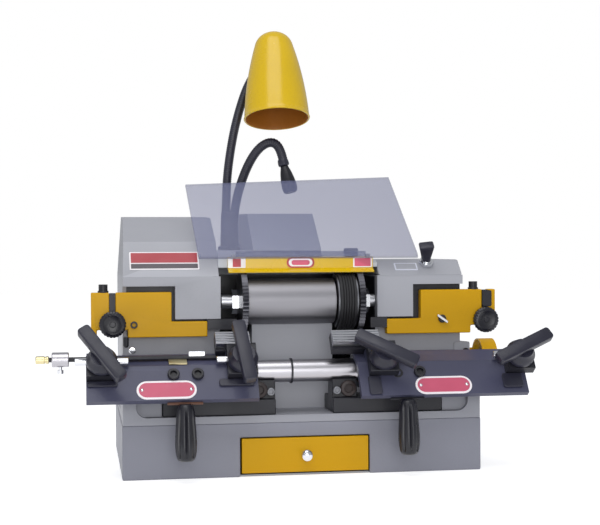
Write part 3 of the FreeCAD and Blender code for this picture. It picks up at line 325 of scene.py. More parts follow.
COPPER = paint("copper_brown", srgb(112, 78, 62), 0.45, 0.1)
BRASS = metal("brass", srgb(226, 214, 170), 0.34, (0.2, 1, 1), 0.03, 0.06)
WIRE = metal("brush_wire", srgb(190, 168, 120), 0.4, (1, 1, 1), 0.02)
BLACK_PLASTIC = plastic("black_plastic", srgb(32, 32, 46), 0.36)
GRIP_BLACK = plastic("grip_black", srgb(21, 21, 30), 0.3)
RUBBER = plastic("belt_rubber", srgb(30, 30, 33), 0.62, 0.3)
LABEL_WHITE = plastic("label_white", srgb(236, 226, 232), 0.35, 0.05)
LABEL_RED = plastic("label_red", srgb(176, 72, 98), 0.35, 0.06)
LABEL_DEEP = plastic("label_deep_red", srgb(152, 46, 56), 0.35, 0.06)
LABEL_DARK = plastic("label_dark", srgb(72, 66, 72), 0.35, 0.06)
LABEL_PALE = plastic("label_pale", srgb(190, 192, 204), 0.4, 0.05)
print("plain finishes:", len(bpy.data.materials))

# %% [markdown]
# ### Clear pieces
# The shield is a clear plastic sheet with a bluish grey haze from years of brass dust, so it lets
# through only part of what is behind it. Real refraction could be used, but a tinted surface that is
# partly transparent gives that even veil without noise. The bulb and the lens are frosted glass.

# %% Shield sheet and glass
def shield_finish():
    finish = Finish("clear_shield", 0.2, 0.0, 0.3)
    haze = finish.span(finish.noise(7, 5), 0.0, 1.0)
    finish.put("Base Color", finish.blend(haze, srgb(100, 105, 142), srgb(107, 112, 148)))
    finish.put("Roughness", finish.span(finish.noise(18, 4), 0.14, 0.28))
    finish.put("Alpha", finish.span(haze, 0.44, 0.46, 0.0, 1.0))
    return finish.material


def glass_finish():
    finish = Finish("lamp_glass", 0.3)
    frost = finish.span(finish.noise(90, 3), 0.0, 1.0)
    finish.put("Base Color", finish.blend(frost, srgb(232, 228, 216), srgb(246, 243, 236)))
    finish.put("Roughness", finish.span(finish.noise(40), 0.22, 0.36))
    finish.relief(finish.noise(600, 2), 0.05, 0.0002)
    return finish.material


SHIELD = shield_finish()
GLASS = glass_finish()
print("clear finishes are made")

# %% [markdown]
# ## Dress the solids
# A solid from a drawing has dead sharp edges, and real castings and sheet parts don't. The solids
# keep their meshes: a Weld joins the loose triangles, a planar Decimate clears flat faces of their
# inner edges, and a small Bevel lets the light catch every edge.

# %% Finishes and soft edges for the solids
SOLID_FINISH = {
    BASE_SHADED_GREY: ("base_box",),
    BED_SHADED_GREY: ("bed_tray",),
    GREY: ("body_casting", "left_hood", "right_housing"),
    HUMP_LIGHTENED_GREY: ("centre_hump",),
    YELLOW: ("drawer", "shield_strip", "brush_guard", "tracer_bracket_left", "tracer_bracket_right"),
    LEMON: ("lamp_shade",),
    SATIN: ("spindle_housing",),
    BLUE_GREY: ("carriage_left", "carriage_right"),
    BLACK_PAINT: ("centre_collar", "shaft_saddles", "guide_bars", "lamp_base", "lamp_neck", "spot_neck",
                  "spot_head", "key_gauge", "bracket_screws", "spindle_bearings", "fixed_jaws_left",
                  "fixed_jaws_right", "moving_jaw_left_outer", "moving_jaw_right_outer"),
    SHEET: ("bottom_plate", "motor"),
    CHROME: ("drawer_knob", "spindle_nuts"),
    GROUND: ("spindle_shaft", "motor_shaft", "moving_jaw_left_inner", "moving_jaw_right_inner"),
    SHAFT: ("carriage_shaft",),
    CUTTER: ("cutter_left", "cutter_right", "tracer_left", "tracer_right"),
    PULLEY: ("spindle_pulley", "motor_pulley"),
    BRONZE: ("carriage_bushes_left", "carriage_bushes_right"),
    WIRE: ("brush_wheel",),
    RUBBER: ("drive_belt",),
    BLACK_PLASTIC: ("handle_left", "handle_right", "t_knob_left_outer", "t_knob_left_inner",
                    "t_knob_right_inner", "t_knob_right_outer", "tracer_knob_left", "tracer_knob_right",
                    "switch_knob", "power_inlet"),
    SHIELD: ("shield",),
    GLASS: ("lamp_bulb",),
}
EDGE_MM = {"base_box": 1.6, "body_casting": 1.4, "left_hood": 2.4, "centre_hump": 2.0,
           "right_housing": 2.0, "bed_tray": 1.2, "drawer": 1.0, "tracer_bracket_left": 1.2,
           "tracer_bracket_right": 1.2, "carriage_left": 0.9, "carriage_right": 0.9, "shaft_saddles": 1.2}
WELD_GAP, FLAT_ANGLE, EDGE_ANGLE = 0.00001, math.radians(0.5), math.radians(32)


def soften(item, width):
    """Round the edges of a solid by modifiers alone."""
    weld = item.modifiers.new("join", "WELD")
    weld.merge_threshold = WELD_GAP
    flat = item.modifiers.new("flats", "DECIMATE")
    flat.decimate_type = "DISSOLVE"
    flat.angle_limit = FLAT_ANGLE
    edge = item.modifiers.new("edges", "BEVEL")
    edge.width = width * MM
    edge.segments = 2
    edge.limit_method = "ANGLE"
    edge.angle_limit = EDGE_ANGLE
    edge.harden_normals = True


left_out = set(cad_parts)
for finish, names in SOLID_FINISH.items():
    for name in names:
        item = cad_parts[name]
        for slot in item.material_slots:
            slot.material = finish
        left_out.discard(name)
        if name in EDGE_MM:
            soften(item, EDGE_MM[name])
print("solids without a finish:", sorted(left_out))

# %% [markdown]
# ## Shapes for the finer pieces
# Nearly every small part here is turned on a lathe, cut from plate or extruded, so three builders
# make them all: a spin, a loft through rounded rectangles, and a straight run of one profile. Each
# gives plain corners and faces in millimetres, and a frame says where they go on the machine.

# %% Builders
def bridge(low, high):
    """Faces between two rings of corners; one of them may be a single corner."""
    count = max(len(low), len(high))
    faces = []
    for step in range(count):
        after = (step + 1) % count
        side = (low[step % len(low)], low[after % len(low)], high[after % len(high)], high[step % len(high)])
        faces.append(tuple(dict.fromkeys(side)))
    return faces


def capped(rings):
    """The faces of a closed skin through rings of corners."""
    faces = [tuple(reversed(rings[0])), tuple(rings[-1])]
    for low, high in zip(rings, rings[1:]):
        faces += bridge(low, high)
    return faces


def spun(profile, steps=40, ridges=0, depth=0.0, band=(-1000, 1000)):
    """A turned shape about Z from (radius, height) pairs, fluted within a band of heights."""
    corners, rings, faces = [], [], []
    for radius, height in profile:
        first = len(corners)
        for step in range(steps if radius > 0 else 1):
            angle = 2 * math.pi * step / steps
            reach = radius
            if radius > 0 and band[0] <= height <= band[1]:
                reach -= depth * max(0.0, math.cos(ridges * angle)) ** 1.5
            corners.append((reach * math.cos(angle), reach * math.sin(angle), height))
        rings.append(range(first, len(corners)))
    for low, high in zip(rings, rings[1:]):
        faces += bridge(low, high)
    return corners, faces


def loft(sections, steps=6):
    """A closed skin through rounded rectangles, each as half width, half depth, corner and height."""
    corners, rings = [], []
    for half_x, half_y, corner, height in sections:
        radius = max(0.02, min(corner, half_x, half_y))
        first = len(corners)
        for quarter, (side_x, side_y) in enumerate(((1, 1), (-1, 1), (-1, -1), (1, -1))):
            for step in range(steps + 1):
                angle = math.pi / 2 * (quarter + step / steps)
                corners.append((side_x * (half_x - radius) + radius * math.cos(angle),
                                side_y * (half_y - radius) + radius * math.sin(angle), height))
        rings.append(range(first, len(corners)))
    return corners, capped(rings)


def plate(half_x, half_y, corner, thick, edge=0.3, start=0.0):
    """A plate on the XY plane with softened edges."""
    inner = (half_x - edge, half_y - edge, max(0.02, corner - edge))
    full = (half_x, half_y, corner)
    return loft([(*inner, start), (*full, start + edge), (*full, start + thick - edge),
                 (*inner, start + thick)])


def run(outline, start, end):
    """A straight run along X of an outline given in the two other axes."""
    count = len(outline)
    corners = [(x, *point) for x in (start, end) for point in outline]
    return corners, capped([range(count, 2 * count), range(count)])


print("builders are ready")


# %% Frames on the machine
def basis(place, right, up, out):
    """A frame from its origin and its three axes."""
    matrix = Matrix((right, up, out)).transposed().to_4x4()
    matrix.translation = Vector(place)
    return matrix


def leaning(place, degrees):
    """A frame whose XY plane is a face that leans back by some degrees from the floor."""
    lean = math.radians(degrees)
    return basis(place, (1, 0, 0), (0, math.cos(lean), math.sin(lean)), (0, -math.sin(lean), math.cos(lean)))


def facing(x, y, z):
    """A frame on a face that looks to the front."""
    return leaning((x, y, z), 90)


def sideways(x, y, z):
    """A frame whose Z axis runs along the machine."""
    return basis((x, y, z), (0, 1, 0), (0, 0, 1), (1, 0, 0))


RIDGE_Y, RIDGE_Z, SLOPE = -158, 124, 55.2
ROOF_Y, ROOF_Z = -104, 218.5


def on_slope(x, along, depth, turn_by=0):
    """A frame on a carriage's sloping plate, measured from its ridge."""
    place = leaning((x, RIDGE_Y, RIDGE_Z), SLOPE) @ Vector((0, along, depth))
    return leaning(place, SLOPE) @ Matrix.Rotation(math.radians(turn_by), 4, "Z")


def on_roof(x, along, degrees):
    """A frame on a housing's leaning front, measured up from its lower edge."""
    return leaning((x, ROOF_Y, ROOF_Z), degrees) @ Matrix.Translation((0, along, 0))


SLOPE_OUT = leaning((0, 0, 0), SLOPE) @ Vector((0, 0, 1))
print("frames are ready")


# %% Pieces
DOUBLE_GAP = 0.000002


def clean(mesh):
    """Merge doubled corners and turn all faces outwards."""
    work = bmesh.new()
    work.from_mesh(mesh)
    bmesh.ops.remove_doubles(work, verts=work.verts, dist=DOUBLE_GAP)
    bmesh.ops.recalc_face_normals(work, faces=work.faces)
    work.to_mesh(mesh)
    work.free()


def shade(mesh, sharp):
    """Smooth faces that meet at less than an angle."""
    mesh.shade_smooth()
    mesh.set_sharp_from_angle(angle=math.radians(sharp))


def scaled(points, matrix=Matrix()):
    """Points in millimetres, set in a frame and turned to metres."""
    return [tuple(MM * value for value in matrix @ Vector(point)) for point in points]


def tie(item, body, replaced=()):
    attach(item, body)
    if replaced:
        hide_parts(*replaced)
    print(item.name, "rides on", body, "with", len(item.data.polygons), "faces")


def piece(name, chunks, body, replaced=(), sharp=35):
    """One object from chunks of shape, frame and finish, tied to a body."""
    corners, faces, marks, finishes = [], [], [], []
    for (points, sides), matrix, finish in chunks:
        if finish not in finishes:
            finishes.append(finish)
        first = len(corners)
        corners += scaled(points, matrix)
        faces += [tuple(first + index for index in side) for side in sides]
        marks += [finishes.index(finish)] * len(sides)
    mesh = bpy.data.meshes.new(name)
    mesh.from_pydata(corners, [], faces)
    for finish in finishes:
        mesh.materials.append(finish)
    mesh.polygons.foreach_set("material_index", marks)
    clean(mesh)
    shade(mesh, sharp)
    item = placed(name, mesh)
    tie(item, body, replaced)
    return item


print("pieces can be made")

# %% [markdown]
# ## Vise knobs
# Each vise is closed by a T-shaped knob of black plastic: a thick bar with blunt ends on a short
# stout hub, moulded round a steel stud. A bevelled box could make the bar, but a loft through six
# rounded oblongs rounds its blunt ends and its long edges by different amounts. The four bars stand
# at the angles at which they were left.

# %% Four T-knobs
STUD_ALONG, JAW_FRONT = -2, 12
VISES = {"left_outer": (-221.5, -56), "left_inner": (-71.5, -83), "right_inner": (84, -30),
         "right_outer": (239, 26)}
HUB = [(0, 0.25), (14.5, 0.25), (16.5, 2), (16.5, 6), (15.2, 9), (13, 12), (12, 16), (0, 16)]
STUD = [(0, -21), (4.4, -21), (5, -20.4), (5, 0.3), (0, 0.3)]
BAR = [(35, 5.6, 2.6, 14.6), (36.3, 6.9, 3.4, 15.2), (36.6, 7.2, 3.7, 16.4), (36.6, 7.2, 3.7, 23.6),
       (36.3, 6.9, 3.4, 24.8), (35, 5.6, 2.6, 25.4)]
for name, (x, turn_of_bar) in VISES.items():
    seat = on_slope(x, STUD_ALONG, JAW_FRONT, turn_of_bar)
    piece("knob_bar_" + name, [(spun(HUB), seat, BLACK_PLASTIC), (loft(BAR, 10), seat, BLACK_PLASTIC),
                               (spun(STUD, 20), seat, GROUND)],
          "knob_" + name, ["t_knob_" + name], 28)

# %% [markdown]
# ## Inner jaws
# The two inner jaws hold the blank in front of the cutter. Their bevelled noses are milled with a
# few grooves along their length. A Boolean could cut them, but a straight run of a grooved profile
# gives that edge exactly.

# %% Grooved jaws
NOSE_FOOT, NOSE_TOP, NOSE_GAP, NOSE_TIP, NOSE_THICK = 20.0, 38.6, 0.6, 5.0, 11.0
GROOVES, GROOVE_HALF, GROOVE_DEPTH = (0.16, 0.38, 0.6, 0.82), 0.9, 1.1
JAW_HALF = 16
JAW_BODY = [(-17.2, 0.6), (21, 0.6), (21, 10.6), (20, 11), (18, 12), (-17.2, 12), (-18, 11.2), (-18, 1.4)]
JAWS = {"left_inner": (-71.5, -98.5, -61), "right_inner": (84, 31, 84)}


def nose_profile():
    """The jaw's nose as along and depth on the slope, its bevel cut by shallow grooves."""
    start, end = Vector((NOSE_TOP, NOSE_TIP)), Vector((NOSE_FOOT, NOSE_THICK))
    way = (end - start).normalized()
    inward = Vector((way.y, -way.x))
    if inward.y > 0:
        inward.negate()
    points = [(NOSE_FOOT, NOSE_GAP), (NOSE_TOP - 0.6, NOSE_GAP), (NOSE_TOP, NOSE_GAP + 0.6), tuple(start)]
    for share in GROOVES:
        middle = start.lerp(end, share)
        near, far = middle - way * GROOVE_HALF, middle + way * GROOVE_HALF
        sunk = inward * GROOVE_DEPTH
        points += [tuple(near), tuple(near + sunk), tuple(far + sunk), tuple(far)]
    return points + [tuple(end)]


for name, (x, nose_start, nose_end) in JAWS.items():
    seat = on_slope(x, 0, 0)
    piece("grooved_jaw_" + name, [(run(nose_profile(), nose_start - x, nose_end - x), seat, GROUND),
                                  (run(JAW_BODY, -JAW_HALF, JAW_HALF), seat, BLACK_PAINT)],
          "jaw_" + name, ["moving_jaw_" + name], 20)

# %% [markdown]
# ## Hand grips
# A carriage is rocked and slid by a fluted black grip that hangs from the lower edge of its plate.
# The grip is a spin whose radius dips eight times round: slim at the neck, fullest low down where the
# palm sits. A thin bar ties it to the plate, copper-coloured on the left and black on the right.

# %% Two grips
GRIP_TILT, GRIP_Y, GRIP_Z = 6, -180.3, 85.8
GRIP_BODY = [(0, 1.2), (5.6, 1.2), (6.9, 2), (7.9, 3.6), (9, 6.6), (9.8, 10), (10.3, 16), (10.8, 24),
             (11.3, 32), (11.7, 40), (11.7, 46), (11.3, 51), (10.6, 55), (9.7, 58), (8.4, 60.2),
             (6, 61.4), (3, 61.8), (0, 61.9)]
for side, x, bar_finish in (("left", -134, COPPER), ("right", 108.5, BLACK_PAINT)):
    hang = leaning((x, GRIP_Y, GRIP_Z), 180 - GRIP_TILT)
    bar_seat = on_slope(x, -43.2, -7)
    piece("grip_" + side, [(spun(GRIP_BODY, 80, 8, 1.9, (8, 57)), hang, GRIP_BLACK),
                           (plate(19, 1.15, 0.5, 2.5), bar_seat, bar_finish)],
          "carriage_" + side, ["handle_" + side])

# %% [markdown]
# ## Lamp shade
# The shade is spun from thin sheet: a bullet form with a beaded rim, yellow outside, and inside a darker
# orange-brown that is painted shade. Two arcs give its outline, and the same outline drawn in by the wall
# makes the inside. A Solidify could thicken one skin, but two skins take two finishes.

# %% Shade, bead and knuckle
SHADE_AT, SHADE_TILT, SHADE_WALL = (-7, 34, 514.6), 14.5, 1.6
BEAD = [(39.3, 109.3), (40.0, 109.9), (40.2, 110.7), (39.8, 111.4), (39.0, 111.7), (38.2, 111.4)]
NECK_END = Vector((-10, 62, 475))
KNUCKLE = [(0, 0), (4.4, 0), (5, 0.6), (5, 11.4), (4.4, 12), (0, 12)]


def arc(first, middle, last, count):
    """Points on the circle through three points, without the last one."""
    (ax, ay), (bx, by), (cx, cy) = first, middle, last
    det = 2 * (ax * (by - cy) + bx * (cy - ay) + cx * (ay - by))
    sums = [ax * ax + ay * ay, bx * bx + by * by, cx * cx + cy * cy]
    ox = (sums[0] * (by - cy) + sums[1] * (cy - ay) + sums[2] * (ay - by)) / det
    oy = (sums[0] * (cx - bx) + sums[1] * (ax - cx) + sums[2] * (bx - ax)) / det
    radius = math.hypot(ax - ox, ay - oy)
    start = math.atan2(ay - oy, ax - ox)
    sweep = math.atan2(cy - oy, cx - ox) - start
    sweep = (sweep + math.pi) % (2 * math.pi) - math.pi
    return [(ox + radius * math.cos(start + sweep * step / count),
             oy + radius * math.sin(start + sweep * step / count)) for step in range(count)]


def shade_outline(inset):
    crown, waist = (0, inset), (23.6 - inset, 17)
    points = arc(crown, (15.5 - inset, 4.2 + inset * 0.6), waist, 14)
    points += arc(waist, (33.4 - inset, 58), (39.5 - inset, 111), 16)
    points[0] = crown
    return points


hang = leaning(SHADE_AT, 180 - SHADE_TILT)
outside = spun(shade_outline(0) + BEAD, 72)
inside = spun([BEAD[-1], (37.8, 110.4)] + list(reversed(shade_outline(SHADE_WALL))), 72)
knuckle = sideways(*(NECK_END + Vector((1.2, 0, 0))))
web = Matrix.Translation(NECK_END + Vector((6.5, -4.8, -4)))
piece("shade", [(outside, hang, LEMON), (inside, hang, LAMP_INSIDE_SHADED),
                (spun(KNUCKLE, 28), knuckle, BLACK_PAINT), (plate(3.5, 4.8, 1, 8, 0.5), web, BLACK_PAINT)],
      "lamp_head", ["lamp_shade"], 50)

# %% [markdown]
# ## Bent necks
# Both lamps stand on goosenecks: a steel coil that stays where it is bent, in a tight black sleeve.
# The ribs follow the path, so Geometry Nodes sweep a circle along the route and let its radius rise
# and fall once for each turn of the coil. The route repeats the drawing's points.

# %% Helpers for geometry trees
def new_tree(name, **inputs):
    """An empty node tree with named inputs and a finish, one geometry in and one geometry out."""
    tree = bpy.data.node_groups.new(name, "GeometryNodeTree")
    tree.interface.new_socket("Geometry", in_out="INPUT", socket_type="NodeSocketGeometry")
    for label, kind in (*inputs.items(), ("Finish", "Material")):
        tree.interface.new_socket(label, in_out="INPUT", socket_type="NodeSocket" + kind)
    tree.interface.new_socket("Geometry", in_out="OUTPUT", socket_type="NodeSocketGeometry")
    return tree, node(tree, "NodeGroupInput").outputs


def close_tree(tree, given, geometry):
    """End a tree with real geometry in one finish."""
    solid = node(tree, "GeometryNodeRealizeInstances", {0: geometry})
    coated = node(tree, "GeometryNodeSetMaterial",
                  {"Geometry": solid.outputs[0], "Material": given["Finish"]})
    node(tree, "NodeGroupOutput", {0: coated.outputs[0]})
    return tree


def grown(name, source, tree, **values):
    """The plain mesh that a tree grows from a source object, which is then removed."""
    grower = source.modifiers.new("grow", "NODES")
    grower.node_group = tree
    for socket in tree.interface.items_tree:
        if socket.in_out == "INPUT" and socket.name in values:
            grower[socket.identifier] = values[socket.name]
    ready = source.evaluated_get(bpy.context.evaluated_depsgraph_get())
    mesh = bpy.data.meshes.new_from_object(ready)
    mesh.name = name
    bpy.data.objects.remove(source)
    return placed(name, mesh)


print("geometry trees can be made")


# %% A tree for ribbed necks, and a route
STEPS_PER_RIB, NECK_SIDES = 6, 20


def ribbed_tree():
    tree, given = new_tree("ribbed_neck", Radius="Float", Pitch="Float", Depth="Float")
    step = calc(tree, "DIVIDE", given["Pitch"], STEPS_PER_RIB)
    even = node(tree, "GeometryNodeResampleCurve", {"Curve": given[0], "Length": step}, mode="LENGTH")
    gone = node(tree, "GeometryNodeSplineParameter").outputs["Length"]
    turns = calc(tree, "MULTIPLY", calc(tree, "DIVIDE", gone, given["Pitch"]), 2 * math.pi)
    dip = calc(tree, "MULTIPLY", calc(tree, "SUBTRACT", 1, calc(tree, "COSINE", turns, 0)), 0.5)
    dip = calc(tree, "MULTIPLY", dip, given["Depth"])
    ring = node(tree, "GeometryNodeCurvePrimitiveCircle", {"Resolution": NECK_SIDES, "Radius": 1})
    swept = node(tree, "GeometryNodeCurveToMesh",
                 {"Curve": even.outputs[0], "Profile Curve": ring.outputs[0], "Fill Caps": True,
                  "Scale": calc(tree, "SUBTRACT", given["Radius"], dip)})
    return close_tree(tree, given, swept.outputs[0])


def route(name, points):
    """A smooth curve through the neighbourhood of its points."""
    curve = bpy.data.curves.new(name, "CURVE")
    curve.dimensions = "3D"
    line = curve.splines.new("NURBS")
    line.points.add(len(points) - 1)
    for corner, point in zip(line.points, scaled(points)):
        corner.co = (*point, 1)
    line.order_u = 3
    line.use_endpoint_u = True
    line.resolution_u = 8
    return placed(name, curve)


ribs = ribbed_tree()
print("tree made:", ribs.name)

# %% Lamp neck and spot neck
NECK_X, NECK_Y, NECK_FOOT, NECK_SPREAD = -64, 20, 268, 4.8
RIB_PITCH, RIB_DEPTH = 2.6, 0.4
LAMP_ROUTE = [(0, 0, 0), (0.5, 3, 18), (2, 7, 42), (3.4, 10, 70), (7.8, 14, 100), (14, 20, 130),
              (22.4, 29, 158), (32.2, 38, 184), (43.8, 42, 203), (58.8, 42, 207)]
SPOT_ROUTE = [(0, 0, 0), (0, 0, 12), (2.2, 0, 32), (7.5, 0, 56), (17, -3, 82), (28, -8, 101),
              (40, -13, 110.5), (50.5, -17.5, 109.5), (57, -20.5, 97), (58.9, -22.5, 85.2)]
for name, start, steps, radius in (("lamp", NECK_X - NECK_SPREAD, LAMP_ROUTE, 5.5),
                                   ("spot", NECK_X + NECK_SPREAD, SPOT_ROUTE, 5.7)):
    path = route(name + "_path", [(start + x, NECK_Y + y, NECK_FOOT + z) for x, y, z in steps])
    neck = grown(name + "_gooseneck", path, ribs, Radius=radius * MM, Pitch=RIB_PITCH * MM,
                 Depth=RIB_DEPTH * MM, Finish=BLACK_PLASTIC)
    neck.data.shade_smooth()
    tie(neck, "frame", [name + "_neck"])
SLEEVE = [(9.6, 6.2, 6, 262), (10.4, 7.0, 6.6, 263), (10.6, 7.2, 6.8, 275), (10.2, 6.6, 6.4, 293),
          (9.4, 5.8, 5.6, 294)]
piece("neck_sleeve", [(loft(SLEEVE), Matrix.Translation((NECK_X, NECK_Y, 0)), BLACK_PLASTIC)],
      "frame")

# %% [markdown]
# ## Spot light
# The second light is a small black can that grows out of a ball at the end of its neck, with a lens
# set back in its mouth. It hangs a little to the right of its neck. Can, lens and socket are spins
# about one tilted axis, so they stay in line.

# %% Spot head
SPOT_AT = (0.5, -3.4, 348)
SPOT_CAN = [(0, -4.8), (2.6, -4.1), (4.2, -2.5), (4.8, 0), (5.4, 2.2), (6.3, 5), (7.3, 9), (8.2, 14),
            (8.9, 19), (9.2, 24), (9, 27.5), (8.3, 30.2), (7.4, 31.6), (6.6, 32), (6.1, 31.2), (5.9, 30),
            (0, 30)]
SPOT_LENS = [(0, 29.8), (5.8, 29.8), (5.8, 30.4), (3.6, 31.1), (0, 31.4)]
SPOT_SOCKET = [(0, -9.8), (5.8, -9.6), (6.4, -8), (6.7, -4.5), (6.6, -2.4), (5.9, -1.5), (4.8, -1.7),
               (3.6, -3.61), (2, -4.69), (0, -5.1)]
SPOT_SIDE, SPOT_DOWN = math.radians(-13), math.radians(172)
spot_turn = Matrix.Rotation(SPOT_SIDE, 4, "Y") @ Matrix.Rotation(SPOT_DOWN, 4, "X")
spot_seat = Matrix.Translation(SPOT_AT) @ spot_turn
piece("spot_socket", [(spun(SPOT_SOCKET, 36), spot_seat, BLACK_PLASTIC)], "frame")
piece("spot_can", [(spun(SPOT_CAN, 36), spot_seat, BLACK_PAINT), (spun(SPOT_LENS, 36), spot_seat, GLASS)],
      "spot_head", ["spot_head"])

# %% [markdown]
# ## Wire brush
# A wheel of fine wire cleans the burr from a cut key. Hair could make the wires, but the export needs
# real faces: points are scattered over the hub's rim with a fixed seed, and a thin tapered wire
# stands on each, leaning a little its own way.

# %% Brush hub and bristles
MOTOR_Y, MOTOR_Z = 4, 112
BRUSH_LEFT, BRUSH_WIDE, BRUSH_HUB, BRUSH_BORE = 246, 13, 12, 7
WIRE_SWAY, WIRE_TWIST, WIRE_SEED = 0.16, 0.4, 7
WIRES_PER_AREA, WIRE_LENGTH, WIRE_THICK = 2400000.0, 7.6, 0.32


def bristle_tree():
    tree, given = new_tree("wire_bristles", Wires="Float", Length="Float", Thickness="Float", Seed="Int")
    scatter = node(tree, "GeometryNodeDistributePointsOnFaces",
                   {"Mesh": given[0], "Density": given["Wires"], "Seed": given["Seed"]}).outputs
    wire = node(tree, "GeometryNodeMeshCone",
                {"Vertices": 4, "Depth": given["Length"], "Radius Bottom": given["Thickness"]})
    sway = node(tree, "FunctionNodeRandomValue",
                {0: (-WIRE_SWAY, -WIRE_SWAY, -WIRE_TWIST), 1: (WIRE_SWAY, WIRE_SWAY, WIRE_TWIST),
                 "Seed": given["Seed"]}, data_type="FLOAT_VECTOR")
    lean = node(tree, "FunctionNodeEulerToRotation", {0: sway.outputs[0]})
    turned = node(tree, "FunctionNodeRotateRotation", {0: scatter["Rotation"], 1: lean.outputs[0]},
                  rotation_space="LOCAL")
    stand = node(tree, "GeometryNodeInstanceOnPoints",
                 {"Points": scatter["Points"], "Instance": wire.outputs["Mesh"],
                  "Rotation": turned.outputs[0]})
    return close_tree(tree, given, stand.outputs[0])


def raw_object(name, shape, matrix=Matrix()):
    """An untied object to grow something from."""
    points, sides = shape
    mesh = bpy.data.meshes.new(name)
    mesh.from_pydata(scaled(points, matrix), [], sides)
    return placed(name, mesh)


hub_seat = sideways(BRUSH_LEFT, MOTOR_Y, MOTOR_Z)
HUB_SIDE = [(BRUSH_BORE, 0), (BRUSH_HUB - 0.5, 0), (BRUSH_HUB, 0.5), (BRUSH_HUB, BRUSH_WIDE - 0.5),
            (BRUSH_HUB - 0.5, BRUSH_WIDE), (BRUSH_BORE, BRUSH_WIDE), (BRUSH_BORE, 0)]
WIRE_BAND = [(BRUSH_HUB - 0.4, 2.2), (BRUSH_HUB - 0.4, BRUSH_WIDE - 2.2)]
piece("brush_hub", [(spun(HUB_SIDE, 40), hub_seat, PULLEY)], "rotor", ["brush_wheel"])
rim = raw_object("brush_rim", spun(WIRE_BAND, 36), hub_seat)
bristles = grown("brush_bristles", rim, bristle_tree(), Wires=WIRES_PER_AREA, Length=WIRE_LENGTH * MM,
                 Thickness=WIRE_THICK * MM, Seed=WIRE_SEED, Finish=WIRE)
tie(bristles, "rotor")

# %% [markdown]
# ## Switch
# The switch on the right housing is a flared black knob in a bright hexagon nut. A turned knob would
# be round, so it is a loft that widens towards its top. A pale plate sits beside it.

# %% Switch knob, nut and plate
HOUSING_LEAN, LEVER_LEAN = 41.186, -8
LEVER = [(5.4, 5.0, 4.6, 4.4), (5.2, 4.6, 4.2, 9), (6.2, 4.9, 3.2, 15), (7.6, 5.3, 2.6, 23),
         (8.5, 5.5, 2.2, 28.4), (8.2, 5.2, 1.9, 29.6), (7.4, 4.4, 1.5, 30)]
NUT = [(0, 0.4), (8.4, 0.4), (9, 1.0), (9, 4.4), (8.2, 5), (0, 5)]
THREAD = [(0, 4.8), (6, 4.8), (6, 6.6), (5.4, 7.2), (0, 7.2)]
switch_seat = leaning((153, -89.701, 231.012), HOUSING_LEAN)
lever_seat = switch_seat @ Matrix.Rotation(math.radians(LEVER_LEAN), 4, "Y")
piece("switch_lever", [(spun(NUT, 6), switch_seat, CHROME), (spun(THREAD, 28), switch_seat, CHROME),
                       (loft(LEVER), lever_seat, BLACK_PLASTIC)],
      "switch", ["switch_knob"], 25)
plate_seat = on_roof(128, 14, HOUSING_LEAN)
piece("switch_plate", [(plate(13.5, 6.2, 1, 0.8, 0.2), plate_seat, LABEL_PALE),
                       (plate(11.8, 4.6, 0.6, 0.4, 0.1, 0.7), plate_seat, GREY)], "frame")

# %% [markdown]
# ## Colour plates
# Thin plates in plain colours sit on the machine: red stadium plates with a pale rim on the
# carriages, a red and dark one on the hood, and three on the yellow strip. Colour on the solid's face
# could do, but a raised plate has an edge that catches the light.

# %% Plates on carriages, hood and strip
NAMEPLATE_PLACES = {"left": (-153.5, -29.8), "right": (150, -31)}
for side, (x, along) in NAMEPLATE_PLACES.items():
    seat = on_slope(x, along, 0)
    piece("nameplate_" + side, [(plate(32, 11, 11, 0.9, 0.25), seat, LABEL_WHITE),
                                (plate(29.6, 8.6, 8.6, 0.5, 0.15, 0.8), seat, LABEL_RED)],
          "carriage_" + side)
HOOD_TOP_Y, HOOD_TOP_Z = -70, 258
hood_lean = math.degrees(math.atan2(HOOD_TOP_Z - ROOF_Z, HOOD_TOP_Y - ROOF_Y))
hood_layers = [(plate(39, 13, 1.2, 0.8, 0.2), on_roof(-150, 23.1, hood_lean), LABEL_WHITE)]
for along, half, tone in ((27.3, 7.2, LABEL_DEEP), (15.1, 3.4, LABEL_DARK)):
    hood_layers.append((plate(37.4, half, 0.6, 0.4, 0.1, 0.7), on_roof(-150, along, hood_lean), tone))
piece("hood_plate", hood_layers, "frame")
STRIP_FACE, STRIP_MIDDLE = -98, 233.6
for name, x, half, inner, tone in (("left", -69, 10, 4.6, LABEL_DEEP), ("right", 76, 11, 9.4, LABEL_RED)):
    seat = facing(x, STRIP_FACE, STRIP_MIDDLE)
    piece("strip_plate_" + name, [(plate(half, 5.8, 0.8, 0.6, 0.15), seat, LABEL_WHITE),
                                  (plate(inner, 4.6, 0.6, 0.3, 0.1, 0.5), seat, tone)],
          "frame")
seat = facing(4, STRIP_FACE, STRIP_MIDDLE)
piece("strip_oval", [(plate(16, 5.9, 5.9, 0.6, 0.15), seat, LABEL_DEEP),
                     (plate(13.8, 4.4, 4.4, 0.3, 0.1, 0.5), seat, LABEL_WHITE),
                     (plate(10.5, 2.8, 2.8, 0.3, 0.1, 0.7), seat, LABEL_RED)], "frame")
print("colour plates are on")

# %% [markdown]
# ## Small screws
# Socket screws and rivets repeat over the machine. One screw is modelled, and Geometry Nodes set a
# copy on every point of a cloud, turned to the direction that the point carries. Each body gets its
# own cloud, so the screws move with the part that they hold.

